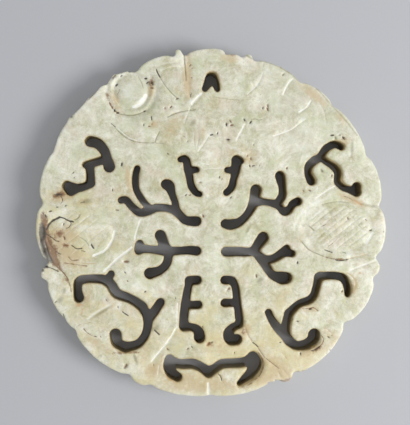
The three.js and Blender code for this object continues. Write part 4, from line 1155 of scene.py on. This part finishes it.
# painted light: a glow where light comes through the thin stone beside a slot, as a brighter
# wall colour and a faint emission: x, y, reach, strength
GLOWS = [
    (20.5, 9.8, 1.4, 0.9), (22.3, 6.6, 1.4, 0.9), (17.7, 7.4, 1.0, 0.9), (22.2, 12.9, 1.0, 0.5),
    (0.3, 25.0, 1.0, 0.7), (1.3, 24.3, 0.8, 0.7), (8.4, -23.8, 1.5, 1.0), (8.0, -25.2, 1.2, 1.0),
    (6.0, -26.9, 1.2, 0.8), (13.2, -18.0, 1.2, 0.7), (23.9, -10.3, 1.0, 0.8), (-5.6, 3.5, 1.0, 0.6),
    (-13.4, 7.0, 1.2, 0.7), (9.0, 4.2, 0.9, 0.7), (12.4, 2.3, 0.9, 0.7), (9.0, -5.2, 0.9, 0.6),
    (10.6, -8.1, 0.9, 0.6),
]
print(f"stains: {sum(map(len, STAINS.values()))}, wide tones: {len(WIDE_TONES)}, glows: {len(GLOWS)}")

# %% [markdown]
# ## What the stone remembers
# The tables above become attributes here. A few more say what kind of surface a point is on:
# the front, a slot's wall, or near the rim or a slot. They are worked out before the lines are
# cut, and Geometry Nodes carries them along.

# %% What the stone remembers
NEAR_SLOT_REACH = 0.65
NEAR_RIM_REACH = 0.9
FRONT_FADE = 1.6  # how far down a wall the front's stains reach
BACK_LEVEL = 0.5  # below this height a point belongs to the back
LEAST_STAIN = 0.25  # share of a stain that shows away from the front
WALL_NEARNESS = 0.6  # how strongly a wall counts as near its slot
EDGE_WALL_SHARE = 0.5  # how much of the edge between front and wall counts as wall


def near_places(points, x, y, reach):
    """1 at a place, and less and less further from it."""
    return np.exp(-((points[:, 0] - x) ** 2 + (points[:, 1] - y) ** 2) / reach**2)


def glow_amount(points):
    amount = np.zeros(len(points))
    for x, y, reach, strength in GLOWS:
        amount = np.maximum(amount, strength * near_places(points, x, y, reach))
    return amount


def stain_amount(points, kind):
    amount = np.zeros(len(points))
    for x, y, along, across, turn, strength in STAINS[kind]:
        c, s = math.cos(math.radians(turn)), math.sin(math.radians(turn))
        u, v = points[:, 0] - x, points[:, 1] - y
        spread = ((u * c + v * s) / along) ** 2 + ((v * c - u * s) / across) ** 2
        amount = np.maximum(amount, strength * np.exp(-spread))
    return amount


def wide_tone(points):
    tone = np.zeros(len(points))
    for x, y, reach, warmth in WIDE_TONES:
        tone += warmth * near_places(points, x, y, reach)
    return tone


def store(mesh, name, values):
    layer = mesh.attributes.new(name, "FLOAT", "POINT")
    layer.data.foreach_set("value", np.asarray(values, np.float32))


def remember_places(mesh):
    z = np.array([vert.co.z for vert in mesh.vertices]) / MM
    distance, nearest = edge_distance(flat_points)
    is_front = np.arange(len(z)) < front_count
    below = np.clip((FRONT - z) / FRONT_FADE, 0, 1)
    front = np.where(is_front, 1.0, 1 - below) * (z > BACK_LEVEL)
    wall = np.zeros(len(z))
    wall[front_count : front_count + len(outline) * len(WALL_LEVELS)] = 1
    wall[: len(outline)] = EDGE_WALL_SHARE
    slot_side = ~on_rim[nearest]
    store(mesh, "front", front)
    store(mesh, "bore", wall * slot_side)
    nearness = np.exp(-distance / NEAR_SLOT_REACH) * np.where(is_front, 1, WALL_NEARNESS)
    store(mesh, "near_slot", np.where(slot_side, nearness, 0))
    store(mesh, "near_rim", np.where(slot_side, 0, np.exp(-distance / NEAR_RIM_REACH)))
    store(mesh, "tone", wide_tone(flat_points))
    store(mesh, "glow", glow_amount(flat_points) * (wall > 0))
    for kind in COLOUR_KINDS:
        store(mesh, kind, stain_amount(flat_points, kind) * np.maximum(front, LEAST_STAIN))


remember_places(plaque_mesh)
plaque = new_object("plaque", plaque_mesh)
print(f"attributes: {', '.join(layer.name for layer in plaque_mesh.attributes)}")

# %% [markdown]
# ## Cutting the lines into the mesh
# The lines become one wire object whose points carry width, depth, slope and colour. A
# Geometry Nodes tree then works like the carver's wheel: at every point of the front it looks
# up the nearest wire, sinks the surface by a rounded V, lets the ground slope down to one
# side, and writes the line's colour, spread a little wider, into the same attributes that
# hold the stains.

# %% Cutting the lines into the mesh
END_DEPTH = 0.35  # how deep a line still is at its ends, as a share
TAPER_POINTS = 3
LEAST_REACH = 0.01 * MM
SLOPE_SHARE = 0.6  # how deep the slope starts, as a share of its line's depth
WANDER_PER_METRE = 900.0
GROOVE_SPREAD = 1.15  # a groove ends this many half-widths from its line
# how uneven the lines are, a seed, and how far their colour spreads, in half-widths
CUT_MANNER = (0.9, 1, 1.35)
HATCH_MANNER = (1.2, 2, 1.2)
PIT_MANNER = (1.8, 3, 1.45)


def wire_object(name, strokes):
    """Edges along strokes. A stroke is its points and a dict of numbers stored at each."""
    points, edges, sides, numbers = [], [], [], {}
    for path, given in strokes:
        along = np.gradient(path, axis=0)
        along /= np.linalg.norm(along, axis=1)[:, None]
        start = len(points)
        points += [(x * MM, y * MM, FRONT * MM) for x, y in path]
        edges += [(start + i, start + i + 1) for i in range(len(path) - 1)]
        sides += [(-dy, dx, 0.0) for dx, dy in along]
        ends = np.minimum(np.arange(len(path)), np.arange(len(path))[::-1]) / TAPER_POINTS
        for key, value in given.items():
            tapers = key == "depth" and len(path) > 4
            taper = np.clip(END_DEPTH + ends, 0, 1) if tapers else 1.0
            numbers.setdefault(key, []).append(np.full(len(path), value) * taper)
    mesh = bpy.data.meshes.new(name)
    mesh.from_pydata(points, edges, [])
    for key, values in numbers.items():
        store(mesh, key, np.concatenate(values))
    side = mesh.attributes.new("side", "FLOAT_VECTOR", "POINT")
    side.data.foreach_set("vector", np.array(sides, np.float32).ravel())
    return new_object(name, mesh)


def line_numbers(kind, strength, width, depth, slope):
    numbers = {"half_width": width / 2 * MM, "depth": depth * MM, "slope": slope * MM}
    numbers.update({f"ink_{name}": strength * (name == kind) for name in COLOUR_KINDS})
    return numbers


def named(tree, name, data_type="FLOAT"):
    return add_node(tree, "GeometryNodeInputNamedAttribute", {"data_type": data_type}, {"Name": name})


def carving_tree():
    inputs = {
        "Lines": "NodeSocketObject", "Front height": "NodeSocketFloat",
        "Depth": "NodeSocketFloat", "Unevenness": "NodeSocketFloat", "Seed": "NodeSocketFloat",
        "Spread": "NodeSocketFloat",
    }
    tree, given, result = new_geometry_tree("carving", inputs)
    lines = add_node(tree, "GeometryNodeObjectInfo", None, {"Object": given["Lines"]}, out="Geometry")
    place = add_node(tree, "GeometryNodeInputPosition")
    apart = add_node(tree, "ShaderNodeSeparateXYZ", None, {"Vector": place})
    x, y = output(apart, "X"), output(apart, "Y")
    level = add_node(tree, "ShaderNodeCombineXYZ", None, {"X": x, "Y": y, "Z": given["Front height"]})
    closest = add_node(
        tree, "GeometryNodeProximity", {"target_element": "EDGES"},
        {"Geometry": lines, "Source Position": level},
    )
    foot, distance = closest, output(closest, "Distance")
    which = add_node(
        tree, "GeometryNodeSampleNearest", {"domain": "POINT"},
        {"Geometry": lines, "Sample Position": foot},
    )

    def of_line(name, data_type="FLOAT"):
        return add_node(
            tree, "GeometryNodeSampleIndex", {"data_type": data_type, "domain": "POINT"},
            {"Geometry": lines, "Value": named(tree, name, data_type), "Index": which},
        )

    wander = add_node(
        tree, "ShaderNodeTexNoise", {"noise_dimensions": "4D"},
        {"Vector": place, "W": given["Seed"], "Scale": WANDER_PER_METRE, "Detail": 2.0},
    )
    uneven = 1 + (wander - 0.5) * given["Unevenness"]
    half_width = of_line("half_width") * uneven
    depth = of_line("depth") * given["Depth"] * uneven
    slope = of_line("slope")
    away = vector_maths(tree, "SUBTRACT", level, foot)
    across = vector_maths(tree, "DOT_PRODUCT", away, of_line("side", "FLOAT_VECTOR"), out="Value")
    reach = maths(tree, "ABSOLUTE", slope)
    sign = maths(tree, "SIGN", slope)
    groove = smooth_step(distance / half_width, 0.0, GROOVE_SPREAD, 1.0, 0.0)
    ink = smooth_step(distance / half_width, 0.0, given["Spread"], 1.0, 0.0)
    on_side = maths(tree, "GREATER_THAN", across * sign, 0.0)
    ramp = smooth_step(distance / greater(reach, LEAST_REACH), 0.0, 1.0, SLOPE_SHARE, 0.0) * on_side
    front = named(tree, "front")
    has_slope = maths(tree, "GREATER_THAN", reach, LEAST_REACH)
    sink = depth * greater(groove, ramp * has_slope) * front
    down = add_node(tree, "ShaderNodeCombineXYZ", None, {"Z": sink * -1})
    geometry = add_node(
        tree, "GeometryNodeSetPosition", None, {"Geometry": given["Geometry"], "Offset": down}
    )
    for kind in COLOUR_KINDS:
        amount = greater(named(tree, kind), of_line(f"ink_{kind}") * ink * front)
        geometry = add_node(
            tree, "GeometryNodeStoreNamedAttribute", {"data_type": "FLOAT", "domain": "POINT"},
            {"Geometry": geometry, "Name": kind, "Value": amount},
        )
    real = add_node(tree, "GeometryNodeRealizeInstances", None, {"Geometry": geometry})
    finished = add_node(tree, "GeometryNodeSetMaterial", None, {"Geometry": real})
    tree.links.new(finished.socket, result.inputs[0])
    return tree


def replace_mesh(piece, mesh):
    old = piece.data
    piece.data = mesh
    bpy.data.meshes.remove(old)


def carve(piece, tree, name, strokes, unevenness, seed, spread):
    wires = wire_object(name, strokes)
    values = {
        "Lines": wires, "Front height": FRONT * MM, "Depth": 1.0,
        "Unevenness": unevenness, "Seed": float(seed), "Spread": spread,
    }
    replace_mesh(piece, run_tree(piece, tree, values))
    wire_mesh = wires.data
    bpy.data.objects.remove(wires)
    bpy.data.meshes.remove(wire_mesh)
    print(f"carved {name}: {len(strokes)}")


carving = carving_tree()
cut_strokes = [(path, line_numbers(*cut[:5])) for path, cut in zip(cut_paths, CUTS)]
carve(plaque, carving, "cuts", cut_strokes, *CUT_MANNER)
hatch_numbers = line_numbers("chalk", HATCH_STRENGTH, HATCH_WIDTH, HATCH_DEPTH, 0)
carve(plaque, carving, "hatching", [(path, hatch_numbers) for path in hatching], *HATCH_MANNER)
pit_strokes = []
for kind, x, y, radius in PITS:
    numbers = line_numbers(kind, PIT_STRENGTH, PIT_WIDTH * radius, radius * PIT_DEPTH_PER_RADIUS, 0)
    lean = noise.noise(Vector((x, y, PIT_SEED))) * 3 * math.pi
    ahead = PIT_HALF_LENGTH * radius * np.array([math.cos(lean), math.sin(lean)])
    pit_strokes.append((np.array([(x, y) - ahead, (x, y) + ahead]), numbers))
carve(plaque, carving, "pits", pit_strokes, *PIT_MANNER)

# %% [markdown]
# ## The stone's colours
# Pale celadon nephrite is a felt of tiny fibres. Its colour comes in layers, as a painter
# would lay glazes: clouds between a deep yellowish and a pale whitish tone, fine dark and
# light flecks, thin whitish veins, then slow drifts of green and pink and of warm and cool.
# Each layer is one row of a table, so the look can be tuned without touching the node tree.

# %% The stone's colours
DEEP = (0.475, 0.452, 0.265, 1)  # the darkest and the palest of the stone's own clouds
PALE = (0.91, 0.90, 0.775, 1)
SHADE = (0.46, 0.44, 0.33, 1)
WISP = (0.88, 0.87, 0.76, 1)
PINK = (0.72, 0.60, 0.48, 1)
GREEN = (0.62, 0.66, 0.42, 1)
WARM = (0.74, 0.64, 0.34, 1)
COOL = (0.66, 0.68, 0.56, 1)
TAN = (0.60, 0.46, 0.25, 1)
OLIVE = (0.27, 0.245, 0.12, 1)
EMBER = (0.58, 0.27, 0.09, 1)
RUST = (0.23, 0.11, 0.04, 1)
GRIME = (0.05, 0.036, 0.02, 1)
CHALK_AND_HIGHLIGHT = (0.97, 0.965, 0.88, 1)
HONEY = (0.46, 0.35, 0.16, 1)
# painted shade: the olive and dark colours below are laid on the slots' walls deeper down
WALL_SHADE_OLIVE = (0.37, 0.295, 0.13, 1)
WALL_SHADE_DARK = (0.29, 0.225, 0.095, 1)
# painted light: the brighter wall colour and the emission of the glow beside thin stone
PAINTED_GLOW_COLOUR = (0.62, 0.50, 0.27, 1)
PAINTED_GLOW_EMISSION = (0.30, 0.25, 0.135, 1)
BLACK = (0, 0, 0, 1)

# size in millimetres, detail, roughness, distortion, and where in the noise it starts
NOISES = {
    "clouds": (3.4, 9, 0.86, 0.35, (0, 0, 0)),
    "flecks": (0.75, 6, 0.8, 0.0, (0, 0, 0)),
    "warmth": (4.5, 6, 0.75, 0.0, (31, 7, 0)),
    "hue": (3.2, 5, 0.68, 0.0, (3, 57, 0)),
    "veins": (3.0, 5, 0.7, 1.0, (0, 0, 0)),
    "torn": (0.55, 5, 0.7, 0.0, (0, 0, 0)),
    "ragged": (1.6, 4, 0.65, 0.0, (0, 0, 0)),
}
CLOUD_RANGE = (0.388, 0.618)
# noise, where the tint starts, where it is full, its share there, its colour
FLECK_TINTS = [("flecks", 0.44, 0.32, 0.60, SHADE), ("flecks", 0.56, 0.70, 0.55, WISP)]
HUE_TINTS = [("hue", 0.48, 0.66, 0.50, GREEN), ("hue", 0.48, 0.32, 0.45, PINK)]
TONE_TINTS = [("tone", 0.0, 1.3, 0.70, WARM), ("tone", 0.0, -1.4, 0.45, COOL)]
VEIN_HALF_WIDTH = 0.03
VEIN_SHARE = 0.35
VEIN_PATCHES = (0.4, 0.6)
WARMTH_DRIFT = 4.0  # how much noise adds to the wide tones
RAGGED_TEAR = 0.6  # how much the larger noise tears a stain's edge, as a share
# attribute, where it starts to show, where it is full, how torn its edge is, its share, colour
STAIN_LAYERS = [
    ("tan", 0.12, 0.85, 1.3, 0.75, TAN),
    ("chalk", 0.15, 0.85, 0.5, 0.85, CHALK_AND_HIGHLIGHT),
    ("olive", 0.15, 0.85, 0.5, 0.70, OLIVE),
    ("ember", 0.20, 0.90, 0.7, 0.75, EMBER),
    ("rust", 0.28, 0.78, 1.3, 0.90, RUST),
    ("grime", 0.22, 0.75, 0.75, 0.95, GRIME),
]


def mix_colours(tree, factor, a, b):
    settings = {"data_type": "RGBA", "clamp_factor": True}
    return add_node(tree, "ShaderNodeMix", settings, {"Factor": factor, 6: a, 7: b}, out=2)


def noise_at(tree, place, size, detail, roughness, distortion, start):
    """Noise whose features are about `size` millimetres across."""
    if any(start):
        place = vector_maths(tree, "ADD", place, start)
    sockets = {
        "Vector": place, "Scale": 1 / size, "Detail": detail, "Roughness": roughness,
        "Distortion": distortion,
    }
    return add_node(tree, "ShaderNodeTexNoise", None, sockets)


def remembered(tree, name):
    attribute = add_node(tree, "ShaderNodeAttribute", {"attribute_name": name})
    return output(attribute, "Fac")


def tinted(tree, colour, fields, layers):
    """The colour with each layer of a table laid over it."""
    for field, start, full, share, tint in layers:
        colour = mix_colours(tree, smooth_step(fields[field], start, full, 0.0, share), colour, tint)
    return colour


def stone_colour(tree, fields):
    colour = mix_colours(tree, straight(fields["clouds"], *CLOUD_RANGE), DEEP, PALE)
    colour = tinted(tree, colour, fields, FLECK_TINTS)
    off_vein = maths(tree, "ABSOLUTE", fields["veins"] - 0.5)
    vein = smooth_step(off_vein, 0.0, VEIN_HALF_WIDTH, 1.0, 0.0) * VEIN_SHARE
    colour = mix_colours(tree, vein * smooth_step(fields["ragged"], *VEIN_PATCHES), colour, WISP)
    colour = tinted(tree, colour, fields, HUE_TINTS)
    return tinted(tree, colour, fields, TONE_TINTS)


def stained(tree, colour, fields):
    for name, start, full, tear, share, stain in STAIN_LAYERS:
        tearing = (fields["torn"] - 0.5) * tear + (fields["ragged"] - 0.5) * tear * RAGGED_TEAR
        mask = smooth_step(remembered(tree, name) + tearing, start, full, 0.0, share)
        colour = mix_colours(tree, mask, colour, stain)
    return colour


print(f"stone: {len(NOISES)} noises, {len(STAIN_LAYERS)} stains")

# %% [markdown]
# ## The stone's material
# Dirt gathers along the slots and dust on the rim, and a few rust specks are scattered by a
# A honey tint lies along the slots and dust on the rim, and a few rust specks are scattered by a
# Voronoi texture. The walls of the slots turn from honey to dark olive further down, which is
# painted shade. Where the stone between two slots is thin, light leaks through, and a painted
# glow on the wall, a brighter colour with a faint emission, stands for it. A little subsurface
# scattering softens every edge.

# %% The stone's material
RIM_DUST = 0.35
DUST_PATCHES = (0.35, 0.6)  # from bare to dusty, as levels of the ragged noise
SLOT_EDGE_TINT = 0.85
SLOT_EDGE_TINT_NEARNESS = (0.5, 1.1)
SLOT_EDGE_TINT_TEAR = 0.7
SPECKS_PER_MM = 1.1
SPECK_RADIUS = (0.05, 0.10)
SPECK_SHARE = 0.5
SPECK_PATCHES = (0.52, 0.62)
# painted shade: the depths at which a wall's colour turns olive and then dark
WALL_SHADE_OLIVE_DEPTH = (0.15, 0.9)  # where a wall's honey turns to olive, and the olive to dark
WALL_SHADE_DARK_DEPTH = (0.9, 2.0)
GLOW_DEPTH = (0.2, 2.4)
WALL_TURN = (0.3, 1.0)  # where the front's colour gives way to the wall's
ROUGHNESS = 0.42
FLECK_ROUGHNESS, GRIME_ROUGHNESS, CHALK_ROUGHNESS = 0.25, 0.25, 0.15
BUMP_HEIGHT = 0.8
BUMP_STRENGTH = 0.45
BUMP_DISTANCE = 0.14 * MM
JADE_LOOK = {
    "Emission Strength": 1.0, "Subsurface Weight": 0.25, "Subsurface Radius": (1.0, 0.85, 0.45),
    "Subsurface Scale": 1.0 * MM, "IOR": 1.61,
}


def rim_dust_slot_tint_and_specks(tree, colour, place, fields):
    """Dust on the rim, a honey tint along the slots' edges, and scattered rust specks."""
    dust = remembered(tree, "near_rim") * smooth_step(fields["ragged"], *DUST_PATCHES) * RIM_DUST
    colour = mix_colours(tree, dust, colour, CHALK_AND_HIGHLIGHT)
    nearness = remembered(tree, "near_slot") + (fields["torn"] - 0.5) * SLOT_EDGE_TINT_TEAR
    colour = mix_colours(tree, smooth_step(nearness, *SLOT_EDGE_TINT_NEARNESS) * SLOT_EDGE_TINT, colour, HONEY)
    sockets = {"Vector": place, "Scale": SPECKS_PER_MM, "Randomness": 1.0}
    cells = add_node(tree, "ShaderNodeTexVoronoi", {"feature": "F1"}, sockets)
    speck = smooth_step(cells, *SPECK_RADIUS, 1.0, 0.0)
    speck = speck * smooth_step(fields["ragged"], *SPECK_PATCHES)
    return mix_colours(tree, speck * SPECK_SHARE, colour, RUST)


def slot_walls(tree, colour, below, fields):
    """The colour with the slots' walls laid over it, darker lower down as painted shade, and the painted
    glow of light leaking through them.
    """
    bore = remembered(tree, "bore")
    depth = bore * (below + (fields["ragged"] - 0.5))
    colour = mix_colours(tree, smooth_step(bore, *WALL_TURN), colour, HONEY)
    # painted shade: the wall darkens to olive and then to dark the deeper it lies in the slot
    colour = mix_colours(tree, smooth_step(depth, *WALL_SHADE_OLIVE_DEPTH), colour, WALL_SHADE_OLIVE)
    colour = mix_colours(tree, smooth_step(depth, *WALL_SHADE_DARK_DEPTH), colour, WALL_SHADE_DARK)
    # painted light: near the glow places the wall is painted brighter and gives off faint light
    glow = remembered(tree, "glow") * smooth_step(below, *GLOW_DEPTH, 1.0, 0.0)
    return mix_colours(tree, glow, colour, PAINTED_GLOW_COLOUR), mix_colours(tree, glow * bore, BLACK, PAINTED_GLOW_EMISSION)


def jade_material():
    material, shader = new_material("celadon_jade", JADE_LOOK)
    tree = material.node_tree
    coordinates = add_node(tree, "ShaderNodeTexCoord", out="Object")
    place = vector_maths(tree, "SCALE", coordinates)
    place.socket.node.inputs["Scale"].default_value = 1 / MM
    below = FRONT - output(add_node(tree, "ShaderNodeSeparateXYZ", None, {"Vector": place}), "Z")
    fields = {name: noise_at(tree, place, *numbers) for name, numbers in NOISES.items()}
    fields["tone"] = remembered(tree, "tone") + (fields["warmth"] - 0.5) * WARMTH_DRIFT

    colour = stained(tree, stone_colour(tree, fields), fields)
    colour = rim_dust_slot_tint_and_specks(tree, colour, place, fields)
    colour, glow_light = slot_walls(tree, colour, below, fields)
    dirt, chalk = remembered(tree, "grime"), remembered(tree, "chalk")
    roughness = ROUGHNESS + (fields["flecks"] - 0.5) * FLECK_ROUGHNESS
    roughness = roughness + dirt * GRIME_ROUGHNESS + chalk * CHALK_ROUGHNESS
    bumps = fields["torn"] * BUMP_HEIGHT + fields["flecks"] * BUMP_HEIGHT
    sockets = {"Height": bumps, "Strength": BUMP_STRENGTH, "Distance": BUMP_DISTANCE}
    bump = add_node(tree, "ShaderNodeBump", None, sockets)

    tree.links.new(colour.socket, shader.inputs["Base Color"])
    tree.links.new(glow_light.socket, shader.inputs["Emission Color"])
    tree.links.new(roughness.socket, shader.inputs["Roughness"])
    tree.links.new(bump.socket, shader.inputs["Normal"])
    return material


plaque.data.materials.clear()
plaque.data.materials.append(jade_material())
print(f"material: {plaque.active_material.name}, {len(plaque.active_material.node_tree.nodes)} nodes")

# %% [markdown]
# ## Into the frame
# The finished plaque rides on the frame's only body and stands for its one node.

# %% Into the frame
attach(plaque, "root")
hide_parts(NODE)


def closed_volume(mesh):
    """Volume in cubic centimetres; it is only right if the mesh is closed and faces outwards."""
    solid = bmesh.new()
    solid.from_mesh(mesh)
    open_edges = sum(not edge.is_manifold for edge in solid.edges)
    volume = solid.calc_volume(signed=True) / (10 * MM) ** 3
    triangles = sum(len(face.verts) - 2 for face in solid.faces)
    solid.free()
    return volume, open_edges, triangles


volume, open_edges, triangles = closed_volume(plaque.data)
print(f"plaque: {volume:.2f} cm3, {open_edges} open edges, {triangles} triangles")
